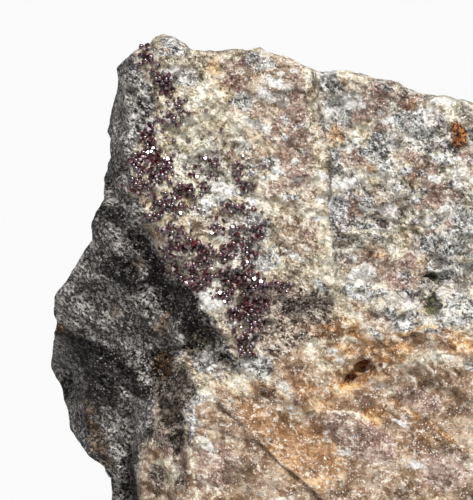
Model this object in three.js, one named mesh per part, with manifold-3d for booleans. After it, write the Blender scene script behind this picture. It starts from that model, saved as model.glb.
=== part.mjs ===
// Pucherite in matrix: a broken hand specimen of vein quartz with dark wall rock down its left side,
// and druses of pucherite crystals on its display face.
// Millimetres, +Z up. The display face looks along -Y and the stone stands on a flat break.
// The shape is worked out from three outline edges, a few flat breaks and the marks on them.
import * as THREE from "three";
import { mergeVertices } from "three/addons/utils/BufferGeometryUtils.js";
import Module from "manifold-3d";

const wasm = await Module();
wasm.setup();

// ---- Driving dimensions ----

// The stone's outline from the front, each point as [x, z].
const LEFT_EDGE = [
  [-12.8, 0], [-13.6, 3.2], [-13.9, 7], [-14.0, 9.2], [-14.6, 10.1], [-15.9, 11.1], [-17.3, 12.7],
  [-18.0, 14.1], [-18.4, 16.4], [-19.0, 18.3], [-19.9, 20.0], [-19.9, 22.3], [-19.4, 24.8],
  [-19.8, 25.6], [-19.7, 27.2], [-18.1, 29.5], [-16.5, 31.9], [-15.8, 33.0], [-16.0, 34.4],
  [-15.5, 35.7], [-14.6, 37.1], [-14.6, 39.1], [-13.9, 41.2], [-13.9, 43.1], [-14.3, 43.8],
  [-13.7, 46.1], [-13.3, 49.1], [-13.4, 50.3],
];
const TOP_EDGE = [
  [-13.4, 50.3], [-12.8, 50.9], [-11.6, 51.9], [-10.1, 52.7], [-9.7, 53.2], [-8.8, 53.7], [-7.5, 53.3],
  [-6.6, 52.7], [-5.9, 51.9], [-4.4, 51.9], [-1.5, 52.2], [1.1, 51.9], [3.7, 51.4], [5.4, 50.4],
  [7.2, 49.8], [9.3, 49.9], [11.0, 49.7], [12.4, 49.2], [14.1, 49.0], [15.5, 48.3], [17.3, 47.6],
  [19.4, 47.6], [20.8, 47.1], [22.3, 46.8], [24.2, 46.0], [25.9, 44.6], [26.9, 43.0],
];
const RIGHT_EDGE = [
  [25.2, 0], [25.9, 4], [26.6, 9], [27.6, 15], [27.2, 20], [28.2, 26], [27.9, 31], [28.4, 36],
  [27.8, 40], [26.9, 43],
];

// The outline of the stone further back, which is plainer, each point as [x, z].
const LEFT_BACK = [[-10.8, 0], [-11.8, 7], [-16.6, 15], [-17.6, 22], [-14.2, 33], [-12.6, 42], [-11.6, 50]];
const RIGHT_BACK = [[23.0, 0], [25.4, 12], [26.6, 25], [26.4, 36], [24.6, 43]];

const BACK_DEPTH = 29.5; // from the display face to the back of the stone
const CORNER_SQUARENESS = 0.5; // 1 is a round back, and less is boxier

// The top is a break that slopes to the right and down to the back.
const TOP_HEIGHT = 50.6; // at x = 4, just behind the display face
const TOP_FALL_RIGHT = 0.17;
const TOP_FALL_BACK = 0.3;
const SPINE = { from: -5, to: 19, depth: 14 }; // the line that the top's rings shrink towards

// The middle of the stone's box, which the row's origin lies under.
const MIDDLE_X = 4.227;
const MIDDLE_Y = 13.093;

// Grid of the matrix's skin.
const FRONT_COLUMNS = 36;
const BACK_COLUMNS = 22;
const ROWS = 38;
const TOP_RINGS = [0.1, 0.35, 0.6, 0.85]; // shares of the way from the rim to the spine

// ---- Display face: flat breaks, given as depth behind the face over x and z ----

const tilted = (x0, z0, depth, perX, perZ) => (x, z) => depth + perX * (x - x0) + perZ * (z - z0);

const displayBreak = tilted(0, 40, 0, 0.03, 0.01);
const darkBreak = tilted(-5, 26.5, 0, -0.553, -0.341);

// The slab that carries the crystals, with its steep left wall.
const UPPER_SLAB = [displayBreak, tilted(-12.2, 45, 0, -2.4, 0), darkBreak];
// The wedge of wall rock that stands out to the left, with its undercut.
const WALL_ROCK_WEDGE = [
  displayBreak,
  darkBreak,
  tilted(-14, 36.8, 1.5, -0.3, 1.8),
  tilted(-19.4, 25, 8.5, -1.34, -1.6),
];
// The wall rock that lies further back, under the wedge's ridge.
const WALL_ROCK_FOOT = [displayBreak, tilted(-12.4, 15, 12, -0.6, 0.1), tilted(-12.4, 17.4, 12, -0.3, 1.4)];
// The block of quartz that stands forward at the foot.
const FOOT_BLOCK = [
  tilted(0, 14, -0.6, 0.02, 0.13),
  tilted(-6.3, 12, -0.9, -1.0, 0.1),
  tilted(-11.2, 10, 4.0, -9, 0),
  tilted(-6.3, 19, 0.4, -0.669, 0.602),
];
const BLOCKS = [UPPER_SLAB, WALL_ROCK_WEDGE, WALL_ROCK_FOOT, FOOT_BLOCK];

// Hollows and swellings: centre, half widths, and depth, which is negative where it stands out.
const HOLLOWS = {
  scoop: [3.2, 24.9, 4.6, 2.2, 0.9],
  rust_pit: [11.6, 20.2, 1.0, 0.6, 2.0],
  rust_pit_tail: [10.2, 19.0, 1.2, 0.6, 1.3],
  green_socket: [18.3, 26.9, 0.7, 1.1, 1.4],
  upper_socket: [18.0, 29.3, 0.9, 0.4, 0.7],
  shoulder_pit: [-12.1, 47.5, 0.7, 0.9, 0.9],
  foot_pit: [-7.8, 15.6, 1.2, 0.8, 1.0],
  foot_groove: [-6.9, 10.2, 0.6, 1.9, 0.8],
  notch: [-8.7, 20.3, 1.5, 1.4, 1.7],
  under_knob: [-6.6, 48.9, 1.6, 1.1, 0.6],
  edge_notch: [-18.2, 18.6, 0.6, 0.9, 1.2],
  cliff_foot: [-11.9, 8.5, 0.8, 3.0, 1.4],
  peak_knob: [-8.4, 51.2, 2.0, 1.8, -1.0],
  brow: [-9.5, 38.5, 3.2, 5.5, -0.5],
  ledge_lip: [0.5, 29.5, 5.0, 2.4, -0.5],
};

// Steps along cracks: the side that is up and to the right stands proud, and falls back over the reach.
const STEPS = [
  {
    line: [
      [-3.4, 17.1], [-1.5, 15.2], [0.1, 13.4], [1.3, 12.4], [2.8, 10.8], [4.8, 9.2], [7.0, 7.1],
      [10.5, 3.4], [12.6, 0],
    ],
    height: 0.45,
    reach: 9,
  },
  { line: [[2.0, 27.3], [4.5, 27.2], [7.4, 27.1]], height: 0.7, reach: 4 },
  { line: [[22.5, 21.9], [18.0, 21.8], [14.0, 22.1], [10.5, 21.6]], height: 0.4, reach: 4 },
];
const STEP_EDGE = 0.25; // width over which a step rises
const STEP_FADE = 1.5; // length over which it fades out past its ends
// The right half of the face lies back behind this edge, given as [x, z] from the top down.
const RECESS_EDGE = [[6.2, 52], [6.4, 47], [7.2, 44], [7.8, 38], [8.3, 31], [8.6, 27]];
const RECESS_DEPTH = 0.9;
const RECESS_WIDTH = 0.5;

const FACE_ROLL = 1.0; // radius that the face turns away with at its top edge

// ---- Flat breaks of the back and sides: outward direction and a point on each ----

const BREAKS = [
  { name: "back", towards: [0.06, 1, 0.08], at: [4, 27.6, 27] },
  { name: "back_shoulder", towards: [-0.1, 0.72, 0.69], at: [2, 25.5, 39] },
  { name: "back_right", towards: [0.78, 0.6, 0.1], at: [24.6, 19, 24] },
  { name: "back_left", towards: [-0.66, 0.74, -0.05], at: [-11, 21.5, 28] },
  { name: "left_flank", towards: [-0.93, 0.3, 0.18], at: [-16.8, 15, 28] },
  { name: "right_shoulder", towards: [0.62, 0.12, 0.78], at: [22.5, 10, 44.4] },
  { name: "back_foot", towards: [0.1, 0.86, -0.5], at: [5, 26, 6.5] },
  { name: "left_heel", towards: [-0.8, 0.45, -0.4], at: [-13.6, 20, 8] },
];

const EDGE_WEAR = 0.5;

// ---- Surface relief ----

const WAVES = 9;
const GOLDEN_TURN = 2.39996;

const ridged = (angle) => (2 / Math.PI) * Math.asin(Math.sin(angle));

// A repeatable roughness of about +-1, made of flats that meet in creases, as breaks in stone do:
// a sum of ridged waves in scattered directions.
function ripple(x, y, z, wavelength, seed) {
  let sum = 0;
  for (let i = 0; i < WAVES; i++) {
    const rise = 1 - (2 * i + 1) / WAVES;
    const level = Math.sqrt(1 - rise * rise);
    const turn = GOLDEN_TURN * i + seed;
    const distance = x * level * Math.cos(turn) + y * level * Math.sin(turn) + z * rise;
    const length = wavelength * (0.7 + 0.6 * ((i * 0.618 + seed * 0.37) % 1));
    sum += ridged((2 * Math.PI * distance) / length + 2.4 * i * i + seed);
  }
  return sum / 2.4;
}

const clamp = (value, low, high) => Math.min(high, Math.max(low, value));
const mix = (a, b, share) => a + (b - a) * share;
const smooth = (value) => {
  const t = clamp(value, 0, 1);
  return t * t * (3 - 2 * t);
};

// The point at a share of a line's length.
function along(line, share) {
  const lengths = line.slice(1).map((p, i) => Math.hypot(p[0] - line[i][0], p[1] - line[i][1]));
  let left = share * lengths.reduce((a, b) => a + b, 0);
  for (let i = 0; i < lengths.length; i++) {
    if (left <= lengths[i] || i === lengths.length - 1) {
      const t = clamp(left / lengths[i], 0, 1);
      return [mix(line[i][0], line[i + 1][0], t), mix(line[i][1], line[i + 1][1], t)];
    }
    left -= lengths[i];
  }
}

// The distance to a line, whether the point is on its upper right side, and how far past its ends it is.
function besideLine(line, x, z) {
  let nearest = { distance: Infinity, side: 1, past: 0 };
  for (let i = 1; i < line.length; i++) {
    const [ax, az] = line[i - 1];
    const [dx, dz] = [line[i][0] - ax, line[i][1] - az];
    const share = ((x - ax) * dx + (z - az) * dz) / (dx * dx + dz * dz);
    const t = clamp(share, 0, 1);
    const distance = Math.hypot(x - ax - t * dx, z - az - t * dz);
    if (distance < nearest.distance) {
      const side = dx * (z - az) - dz * (x - ax) > 0 ? 1 : -1;
      nearest = { distance, side, past: Math.abs(share - t) * Math.hypot(dx, dz) };
    }
  }
  return nearest;
}

// Height or x of an edge that runs mostly one way: the value at a given place along it.
function valueAt(line, from, to, place) {
  const rising = line[line.length - 1][from] > line[0][from];
  const points = rising ? line : [...line].reverse();
  const i = clamp(points.findIndex((p) => p[from] >= place), 1, points.length - 1);
  const [a, b] = [points[i - 1], points[i]];
  return mix(a[to], b[to], clamp((place - a[from]) / (b[from] - a[from]), 0, 1));
}

// Depth of the display face behind its plane, at x and z.
function faceDepth(x, z) {
  const wx = x + 0.35 * ripple(x, 0, z, 4.5, 1.7);
  const wz = z + 0.35 * ripple(x, 0, z, 4.5, 5.1);
  let depth = Math.min(...BLOCKS.map((block) => Math.max(...block.map((flat) => flat(wx, wz)))));
  for (const [cx, cz, halfX, halfZ, deep] of Object.values(HOLLOWS)) {
    depth += deep * Math.exp(-(((x - cx) / halfX) ** 2) - ((z - cz) / halfZ) ** 2);
  }
  for (const { line, height, reach } of STEPS) {
    const { distance, side, past } = besideLine(line, x, z);
    const fade = Math.exp(-distance / reach - past / STEP_FADE);
    depth -= height * fade * smooth(0.5 + (side * distance) / STEP_EDGE);
  }
  const behindEdge = smooth((x - valueAt(RECESS_EDGE, 1, 0, z)) / RECESS_WIDTH);
  depth += RECESS_DEPTH * behindEdge * smooth((z - 25) / 4);
  const toTop = valueAt(TOP_EDGE, 0, 1, x) - z;
  const intoRoll = clamp(FACE_ROLL - toTop, 0, FACE_ROLL);
  depth += FACE_ROLL - Math.sqrt(FACE_ROLL ** 2 - intoRoll ** 2);
  return depth + 0.42 * ripple(x, depth, z, 8, 2.3) + 0.2 * ripple(x, depth, z, 3.4, 8.9);
}

// A point of the face: the three edges and the foot are spanned by straight blends between them.
function facePoint(share, rise) {
  const left = along(LEFT_EDGE, rise);
  const right = along(RIGHT_EDGE, rise);
  const top = along(TOP_EDGE, share);
  const corner = [LEFT_EDGE[0], RIGHT_EDGE[0], TOP_EDGE[0], TOP_EDGE[TOP_EDGE.length - 1]];
  const [x, z] = [0, 1].map((k) => {
    const foot = mix(corner[0][k], corner[1][k], share);
    const flat = mix(foot, mix(corner[2][k], corner[3][k], share), rise);
    return mix(left[k], right[k], share) + mix(foot, top[k], rise) - flat;
  });
  return new THREE.Vector3(x, faceDepth(x, z), z);
}

const FLAT_BREAKS = BREAKS.map(({ towards, at }) => {
  const normal = new THREE.Vector3(...towards).normalize();
  return new THREE.Plane().setFromNormalAndCoplanarPoint(normal, new THREE.Vector3(...at));
});

// Pulls a point back to each flat break that it lies beyond, with the edges between breaks a little worn.
function broken(point) {
  for (const flat of FLAT_BREAKS) {
    const beyond = flat.distanceToPoint(point);
    point.addScaledVector(flat.normal, -EDGE_WEAR * Math.log1p(Math.exp(beyond / EDGE_WEAR)));
  }
  return point;
}

const topHeight = (x, y) =>
  TOP_HEIGHT - TOP_FALL_RIGHT * (x - 4) - TOP_FALL_BACK * y + 0.4 * ripple(x, y, 0, 9, 4.4);

// A point of the sides and back, which run in an arc from the face's right edge to its left edge.
function backPoint(turn, rise) {
  const angle = Math.PI * turn;
  const around = Math.sin(angle) ** CORNER_SQUARENESS;
  const across = 0.5 + 0.5 * Math.sign(Math.cos(angle)) * Math.abs(Math.cos(angle)) ** 0.8;
  const right = facePoint(1, rise);
  const left = facePoint(0, rise);
  const plainRight = mix(right.x, along(RIGHT_BACK, rise)[0], around);
  const plainLeft = mix(left.x, along(LEFT_BACK, rise)[0], around);
  const x = mix(plainLeft, plainRight, across);
  const rim = mix(left.y, right.y, across);
  const y = rim + (BACK_DEPTH - rim) * around;
  const edgeHeight = mix(left.z, right.z, across);
  const top = mix(mix(LEFT_EDGE.at(-1)[1], RIGHT_EDGE.at(-1)[1], across), topHeight(x, y), around);
  const point = new THREE.Vector3(x, y, mix(edgeHeight, rise * top, around));
  const lump = 0.8 * ripple(x, y, point.z, 12, 3.3) * around;
  point.x += lump * Math.cos(angle);
  point.y += lump * Math.sin(angle);
  broken(point);
  const rough = 0.25 * ripple(point.x, point.y, point.z, 4.2, 6.1) * around;
  point.x += rough * Math.cos(angle);
  point.y += rough * Math.sin(angle);
  if (rise === 0) point.z = 0;
  return point;
}

// ---- The matrix as one closed skin ----

// Triangles that fill a ring of points seen from above, all facing up.
function fillRing(points, ring) {
  const plan = ring.map((i) => new THREE.Vector2(points[i].x, points[i].y));
  return THREE.ShapeUtils.triangulateShape(plan, []).map(([a, b, c]) => {
    const [toB, toC] = [b, c].map((i) => plan[i].clone().sub(plan[a]));
    return toB.cross(toC) > 0 ? [ring[a], ring[b], ring[c]] : [ring[a], ring[c], ring[b]];
  });
}

function bandBetween(lower, upper) {
  return lower.flatMap((_, i) => {
    const next = (i + 1) % lower.length;
    return [
      [lower[i], lower[next], upper[next]],
      [lower[i], upper[next], upper[i]],
    ];
  });
}

function matrixSkin() {
  const points = [];
  const rings = [];
  for (let row = 0; row <= ROWS; row++) {
    const rise = row / ROWS;
    const ring = [];
    for (let i = 0; i <= FRONT_COLUMNS; i++) ring.push(facePoint(i / FRONT_COLUMNS, rise));
    for (let i = 1; i < BACK_COLUMNS; i++) ring.push(backPoint(i / BACK_COLUMNS, rise));
    rings.push(ring.map((p) => points.push(p) - 1));
  }
  const rim = rings[ROWS].map((i) => points[i].clone());
  for (const share of TOP_RINGS) {
    const ring = rim.map((p) => {
      const x = mix(p.x, clamp(p.x, SPINE.from, SPINE.to), share);
      const y = mix(p.y, SPINE.depth, share);
      const point = new THREE.Vector3(x, y, mix(p.z, topHeight(x, y), smooth(share * 3)));
      return broken(point);
    });
    rings.push(ring.map((p) => points.push(p) - 1));
  }
  const triangles = rings.slice(1).flatMap((ring, i) => bandBetween(rings[i], ring));
  triangles.push(...fillRing(points, rings.at(-1)));
  triangles.push(...fillRing(points, rings[0]).map(([a, b, c]) => [a, c, b]));
  return new THREE.BufferGeometry().setFromPoints(points).setIndex(triangles.flat());
}

// ---- Solids ----

function solidOf(geometry) {
  geometry.deleteAttribute("normal");
  geometry.deleteAttribute("uv");
  const merged = mergeVertices(geometry, 1e-4);
  const index = [...merged.index.array];
  const triangles = [];
  for (let i = 0; i < index.length; i += 3) {
    const [a, b, c] = index.slice(i, i + 3);
    if (a !== b && b !== c && c !== a) triangles.push(a, b, c);
  }
  return new wasm.Manifold(
    new wasm.Mesh({
      numProp: 3,
      vertProperties: merged.attributes.position.array,
      triVerts: new Uint32Array(triangles),
    }),
  );
}

function geometryOf(solid) {
  const mesh = solid.getMesh();
  return new THREE.BufferGeometry()
    .setAttribute("position", new THREE.BufferAttribute(mesh.vertProperties, 3))
    .setIndex(new THREE.BufferAttribute(mesh.triVerts, 1));
}

const biggest = (solid) => solid.decompose().reduce((a, b) => (b.volume() > a.volume() ? b : a));

// ---- Pucherite druses ----

const CRYSTAL_SIZE = [0.36, 0.62]; // half the length of a crystal
const CRUST_HEIGHT = 0.42; // how far the crust under the crystals stands off the rock
const SEAT_GAP = 0.05; // between the crust and the rock
const MERGE_WITHIN = 0.07; // corners closer than this are one

// Each druse is one solid of one or more lobes: [x, z, half width, half height, crystals].
// A lobe without crystals is bare crust that joins its neighbours.
const DRUSES = {
  peak: [[-10.2, 51.4, 0.6, 0.8, 3]],
  brow: [[-8.4, 48.9, 1.0, 0.8, 5]],
  shelf: [[-8.2, 45.0, 0.9, 0.5, 4]],
  shelf_side: [[-6.9, 46.4, 0.5, 0.6, 2]],
  left_string: [[-10.1, 43.9, 0.6, 0.8, 4], [-10.0, 42.7, 0.6, 0.8, 3]],
  left_knot: [[-10.8, 40.8, 1.2, 0.9, 6], [-9.5, 41.1, 0.8, 0.6, 3]],
  middle_string: [[-8.2, 40.3, 0.6, 0.9, 3], [-8.6, 39.3, 1.0, 0.6, 4]],
  left_edge: [[-11.3, 38.5, 0.9, 0.7, 4], [-10.2, 38.0, 0.7, 0.5, 3]],
  middle: [[-6.3, 38.1, 0.8, 0.5, 4]],
  middle_side: [[-4.7, 38.1, 0.5, 0.5, 2]],
  upper_middle: [[-3.6, 40.7, 0.6, 0.4, 2]],
  upper_right: [[-1.3, 40.0, 0.5, 0.7, 3]],
  right_knot: [[-0.4, 38.3, 0.7, 0.5, 3]],
  red_line: [[-1.8, 36.2, 0.9, 0.5, 3], [-0.6, 36.2, 0.9, 0.5, 3]],
  middle_knot: [[-8.0, 36.7, 1.1, 0.8, 5], [-7.2, 36.0, 0.9, 0.6, 3]],
  lower_string: [[-9.8, 35.2, 0.9, 0.5, 3]],
  lower_knot: [[-7.8, 33.9, 0.9, 0.5, 4]],
  right_single: [[-3.3, 34.0, 0.6, 0.5, 3]],
  right_pair: [[-1.4, 33.8, 0.5, 0.4, 2]],
  right_string: [[0.8, 33.7, 0.6, 0.6, 3]],
  main_left: [
    [-8.0, 31.9, 0.6, 0.9, 2], [-7.0, 32.6, 0.9, 0.5, 3], [-5.5, 32.4, 0.9, 0.5, 3],
    [-4.5, 31.4, 0.5, 0.9, 3], [-7.2, 30.2, 0.9, 0.7, 3], [-5.9, 29.3, 1.1, 0.8, 4],
    [-4.6, 29.7, 0.7, 0.9, 3], [-5.0, 28.3, 0.8, 0.5, 2], [-7.9, 31.0, 0.6, 0.8, 0],
    [-5.0, 28.8, 0.7, 0.6, 0],
  ],
  main_right: [
    [-2.3, 31.2, 0.6, 1.2, 3], [-1.2, 32.4, 1.0, 0.6, 2], [-0.2, 31.4, 0.7, 0.7, 3],
    [-2.2, 29.4, 0.7, 1.0, 3], [-0.8, 29.2, 1.1, 0.8, 3], [0.5, 29.0, 0.8, 1.0, 3],
    [-2.6, 27.5, 0.9, 0.5, 2], [-0.9, 27.2, 1.3, 0.6, 3], [0.6, 26.6, 1.0, 0.9, 3],
    [-0.9, 25.7, 1.2, 0.8, 3], [0.3, 25.0, 0.9, 0.7, 3], [-0.4, 24.0, 1.1, 0.7, 3],
    [-0.3, 22.9, 0.8, 0.5, 2], [-0.7, 28.2, 1.0, 0.8, 0], [-1.8, 31.9, 0.7, 0.7, 0],
    [-0.4, 23.4, 0.7, 0.6, 0],
  ],
  foot_knot: [[-0.3, 21.7, 0.7, 0.6, 4]],
};

// Repeatable random numbers from 0 to 1.
function dice(seed) {
  let state = seed;
  return () => {
    state = (state * 1664525 + 1013904223) % 4294967296;
    return state / 4294967296;
  };
}

// The way the face looks at x and z, as a unit vector out of the stone.
function outward(x, z) {
  const reach = 0.6;
  const perX = (faceDepth(x + reach, z) - faceDepth(x - reach, z)) / (2 * reach);
  const perZ = (faceDepth(x, z + reach) - faceDepth(x, z - reach)) / (2 * reach);
  return new THREE.Vector3(perX, -1, perZ).normalize();
}

// A pucherite crystal: a squat four-sided double pyramid.
function crystal(size, turn, place) {
  const geometry = new THREE.OctahedronGeometry(size, 0);
  geometry.scale(0.85, 1, 0.65);
  geometry.applyQuaternion(turn);
  geometry.translate(place.x, place.y, place.z);
  return solidOf(geometry);
}

// The low crust that a lobe's crystals stand on, laid over the rise and fall of the rock.
function crust(x, z, halfX, halfZ) {
  const geometry = new THREE.IcosahedronGeometry(1, 0);
  geometry.scale(halfX * 1.05, CRUST_HEIGHT, halfZ * 1.05);
  geometry.translate(x, 0, z);
  const place = geometry.attributes.position;
  for (let i = 0; i < place.count; i++) {
    place.setY(i, place.getY(i) + faceDepth(place.getX(i), place.getZ(i)));
  }
  return solidOf(geometry);
}

function druse(lobes, seed) {
  const random = dice(seed);
  const solids = [];
  for (const [x, z, halfX, halfZ, count] of lobes) {
    solids.push(crust(x, z, halfX, halfZ));
    for (let i = 0; i < count; i++) {
      const far = Math.sqrt((i + 0.5) / count) * 0.85;
      const cx = x + halfX * far * Math.cos(GOLDEN_TURN * i + seed);
      const cz = z + halfZ * far * Math.sin(GOLDEN_TURN * i + seed);
      const place = outward(cx, cz).multiplyScalar(0.22).add(new THREE.Vector3(cx, faceDepth(cx, cz), cz));
      const turn = new THREE.Quaternion().setFromEuler(
        new THREE.Euler(random() * Math.PI, random() * Math.PI, random() * Math.PI),
      );
      solids.push(crystal(mix(...CRYSTAL_SIZE, random()), turn, place));
    }
  }
  return solids.reduce((a, b) => a.add(b));
}

// ---- The part ----

const QUARTZ = new THREE.MeshStandardMaterial({ color: 0xac9c86, roughness: 0.75, metalness: 0 });
const PUCHERITE = new THREE.MeshStandardMaterial({ color: 0x4a1418, roughness: 0.2, metalness: 0 });

function named(name, geometry, material) {
  const mesh = new THREE.Mesh(geometry, material);
  mesh.name = name;
  return mesh;
}

const specimen = new THREE.Group();
const skin = matrixSkin();
specimen.add(named("matrix", skin, QUARTZ));

const seat = solidOf(skin.clone().translate(0, -SEAT_GAP, 0));
Object.entries(DRUSES).forEach(([name, lobes], i) => {
  const grown = biggest(druse(lobes, 11 + 17 * i).subtract(seat).asOriginal().simplify(MERGE_WITHIN));
  specimen.add(named("pucherite_" + name, geometryOf(grown), PUCHERITE));
});

specimen.position.set(-MIDDLE_X, -MIDDLE_Y, 0);

export default specimen;
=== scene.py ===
# %% [markdown]
# # Pucherite in matrix
# A hand specimen about 54 mm high: vein quartz stained with iron, a wedge of dark wall rock grown
# onto its left side, and hundreds of dark red pucherite crystals on a thin cream crust.
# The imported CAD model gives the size, the place and the main breaks. This lesson rebuilds the stone's
# skin at a fine grain, colours it mineral by mineral, and then grows the crystals on it.

# %% Load the frame
import itertools
import math
from random import Random
import bpy
import numpy as np
from mathutils import Matrix, Vector


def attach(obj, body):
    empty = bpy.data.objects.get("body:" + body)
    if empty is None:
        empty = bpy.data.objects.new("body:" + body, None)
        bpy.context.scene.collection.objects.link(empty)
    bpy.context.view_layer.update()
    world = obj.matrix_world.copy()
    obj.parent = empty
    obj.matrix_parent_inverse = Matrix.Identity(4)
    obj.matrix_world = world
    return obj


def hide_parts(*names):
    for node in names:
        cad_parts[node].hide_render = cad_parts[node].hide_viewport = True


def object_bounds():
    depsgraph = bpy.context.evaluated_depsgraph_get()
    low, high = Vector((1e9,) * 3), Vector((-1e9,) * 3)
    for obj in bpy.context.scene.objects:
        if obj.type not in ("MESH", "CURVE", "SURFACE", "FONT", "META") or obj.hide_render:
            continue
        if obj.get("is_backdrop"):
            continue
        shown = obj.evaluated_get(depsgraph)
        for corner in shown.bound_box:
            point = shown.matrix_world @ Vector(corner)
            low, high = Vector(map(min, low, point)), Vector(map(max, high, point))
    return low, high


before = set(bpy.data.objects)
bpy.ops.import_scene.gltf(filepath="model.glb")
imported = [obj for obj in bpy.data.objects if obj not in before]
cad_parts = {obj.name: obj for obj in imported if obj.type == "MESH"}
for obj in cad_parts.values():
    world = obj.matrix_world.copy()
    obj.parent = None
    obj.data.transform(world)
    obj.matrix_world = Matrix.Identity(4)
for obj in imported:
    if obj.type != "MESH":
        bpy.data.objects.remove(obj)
cad_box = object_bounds()


def in_mm(box):
    return [[round(1000 * v, 2) for v in corner] for corner in box]


print("CAD box, mm:", in_mm(cad_box))

# %% [markdown]
# ## Millimetres and the row's frame
# The stone is easiest to describe in millimetres, with x to the right, z up from the break it stands
# on, and y going back from the display face. The row wants metres, with its origin under the middle
# of the stone, so every mesh passes through one function on its way into Blender.

# %% From the stone's own millimetres to the row's metres
MIDDLE_X = 4.227
MIDDLE_Y = 13.093


def to_row(points):
    return (np.asarray(points, float) - [MIDDLE_X, MIDDLE_Y, 0]) / 1000


print("the row's origin lies at x", MIDDLE_X, "and y", MIDDLE_Y, "mm of the stone")

# %% [markdown]
# ## A studio for a small stone
# A hand specimen is best shown through a long lens, level with it, on a white ground. The long lens
# keeps the outline free of perspective. A strong, fairly small key lamp stands high and nearly in
# front, wide weak ones fill in from the sides and the top, and two small low ones are there for the
# crystals, because a flat crystal face only flashes if it has something bright to mirror.

# %% Camera
VIEW_X, VIEW_Z = -1.35, 32.0
VIEW_HEIGHT = 50.0
CAMERA_DISTANCE = 2000.0
SENSOR = 36.0

camera = bpy.data.objects.new("camera", bpy.data.cameras.new("camera"))
bpy.context.scene.collection.objects.link(camera)
bpy.context.scene.camera = camera
camera.location = to_row([VIEW_X, -CAMERA_DISTANCE, VIEW_Z])
camera.rotation_euler = (math.radians(90), 0, 0)
camera.data.sensor_width = SENSOR
camera.data.lens = SENSOR * CAMERA_DISTANCE / VIEW_HEIGHT
camera.data.clip_end = 5 * CAMERA_DISTANCE / 1000
print("lens, mm:", round(camera.data.lens))


# %% Colours are written as sRGB hex and used as linear light
def linear(colour):
    channels = [int(colour[i : i + 2], 16) / 255 for i in (1, 3, 5)]
    return tuple(c / 12.92 if c <= 0.04045 else ((c + 0.055) / 1.055) ** 2.4 for c in channels) + (1.0,)


print("middle grey as linear light:", round(linear("#808080")[0], 3))

# %% Lamps
LAMP_DISTANCE = 480.0
LAMP_AIM = [4, 5, 27]  # the middle of the stone, just behind its display face
LAMPS = {  # degrees to the right of the camera, degrees up, width in mm, watts
    "key": (10, 48, 150, 2.42),
    "right": (48, 34, 280, 0.40),
    "left": (-36, 46, 260, 0.28),
    "top": (15, 76, 260, 0.45),
    "far_left": (-66, 22, 120, 0.08),
    "low": (26, 9, 100, 0.10),
}


def lamp(name, azimuth, elevation, size, power):
    data = bpy.data.lights.new(name, "AREA")
    data.shape, data.size, data.energy = "DISK", size / 1000, power
    obj = bpy.data.objects.new(name, data)
    bpy.context.scene.collection.objects.link(obj)
    turn, rise = math.radians(azimuth), math.radians(elevation)
    way = Vector((math.sin(turn) * math.cos(rise), -math.cos(turn) * math.cos(rise), math.sin(rise)))
    obj.location = Vector(to_row(LAMP_AIM)) + way * LAMP_DISTANCE / 1000
    obj.rotation_euler = way.to_track_quat("Z", "Y").to_euler()


for name, settings in LAMPS.items():
    lamp(name, *settings)
print("lamps:", *LAMPS)


# %% One small function adds a node
def add(tree, kind, inputs=None, stops=(), **settings):
    """Adds a node with its settings, and sets or links its inputs. A node that is given as an input
    stands for its first output in use. Stops are a colour ramp's places and colours."""
    node = tree.nodes.new("ShaderNode" + kind)
    for name, value in settings.items():
        setattr(node, name, value)
    for key, value in (inputs or {}).items():
        by_name = (s for s in node.inputs if s.enabled and s.name == key)
        socket = node.inputs[key] if isinstance(key, int) else next(by_name)
        if isinstance(value, bpy.types.Node):
            value = next(s for s in value.outputs if s.enabled)
        if isinstance(value, bpy.types.NodeSocket):
            tree.links.new(value, socket)
        else:
            socket.default_value = value
    for i, (place, colour) in enumerate(stops):
        element = node.color_ramp.elements[i] if i < 2 else node.color_ramp.elements.new(place)
        element.position, element.color = place, linear(colour)
    return node


print("nodes are added by", add.__name__)

# %% White surroundings: an even backing for the camera, and a dome that is brightest at the top
BACKING = 0.97  # what the camera sees behind the stone, nearly white
DIMMEST, BRIGHTEST = 0.04, 0.28  # light from below the horizon and from straight above
world = bpy.data.worlds.new("white_surroundings")
bpy.context.scene.world = world
world.use_nodes = True
sky = world.node_tree
sky.nodes.clear()
seen = add(sky, "LightPath").outputs["Is Camera Ray"]
up = add(sky, "SeparateXYZ", {0: add(sky, "TexCoord").outputs["Generated"]}).outputs["Z"]
dome = add(sky, "MapRange", {"Value": up, "From Min": -0.3, "To Min": DIMMEST, "To Max": BRIGHTEST})
strength = add(sky, "Mix", {"Factor": seen, "A": dome, "B": BACKING})
backing = add(sky, "Background", {"Color": linear("#fefefe"), "Strength": strength})
add(sky, "OutputWorld", {"Surface": backing})
bpy.context.scene.view_settings.view_transform = "Standard"
print("surroundings:", len(sky.nodes), "nodes")

# %% Floor: matt white card, which gives the stone soft light from below
FLOOR_RADIUS = 0.25
bpy.ops.mesh.primitive_circle_add(vertices=96, radius=FLOOR_RADIUS, fill_type="NGON", location=(0, 0, 0))
floor = bpy.context.object
floor.name = "floor"
board = bpy.data.materials.new("white_card")
board.use_nodes = True
board.node_tree.nodes["Principled BSDF"].inputs["Base Color"].default_value = linear("#b8b8b8")
board.node_tree.nodes["Principled BSDF"].inputs["Roughness"].default_value = 0.9
floor.data.materials.append(board)
floor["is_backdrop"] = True
print("floor, mm across:", round(2000 * FLOOR_RADIUS))

# %% [markdown]
# ## The stone's main form
# A broken stone is a few flat breaks with a rough skin. The display face is where three blocks meet:
# the slab with the crystals, the wedge of wall rock on the left, and the block of quartz at the foot.
# Each block is the space behind a few flat breaks, and the face is whichever block stands furthest
# forward. The same values shape the CAD solid, so the fine skin lies on it everywhere.

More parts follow.
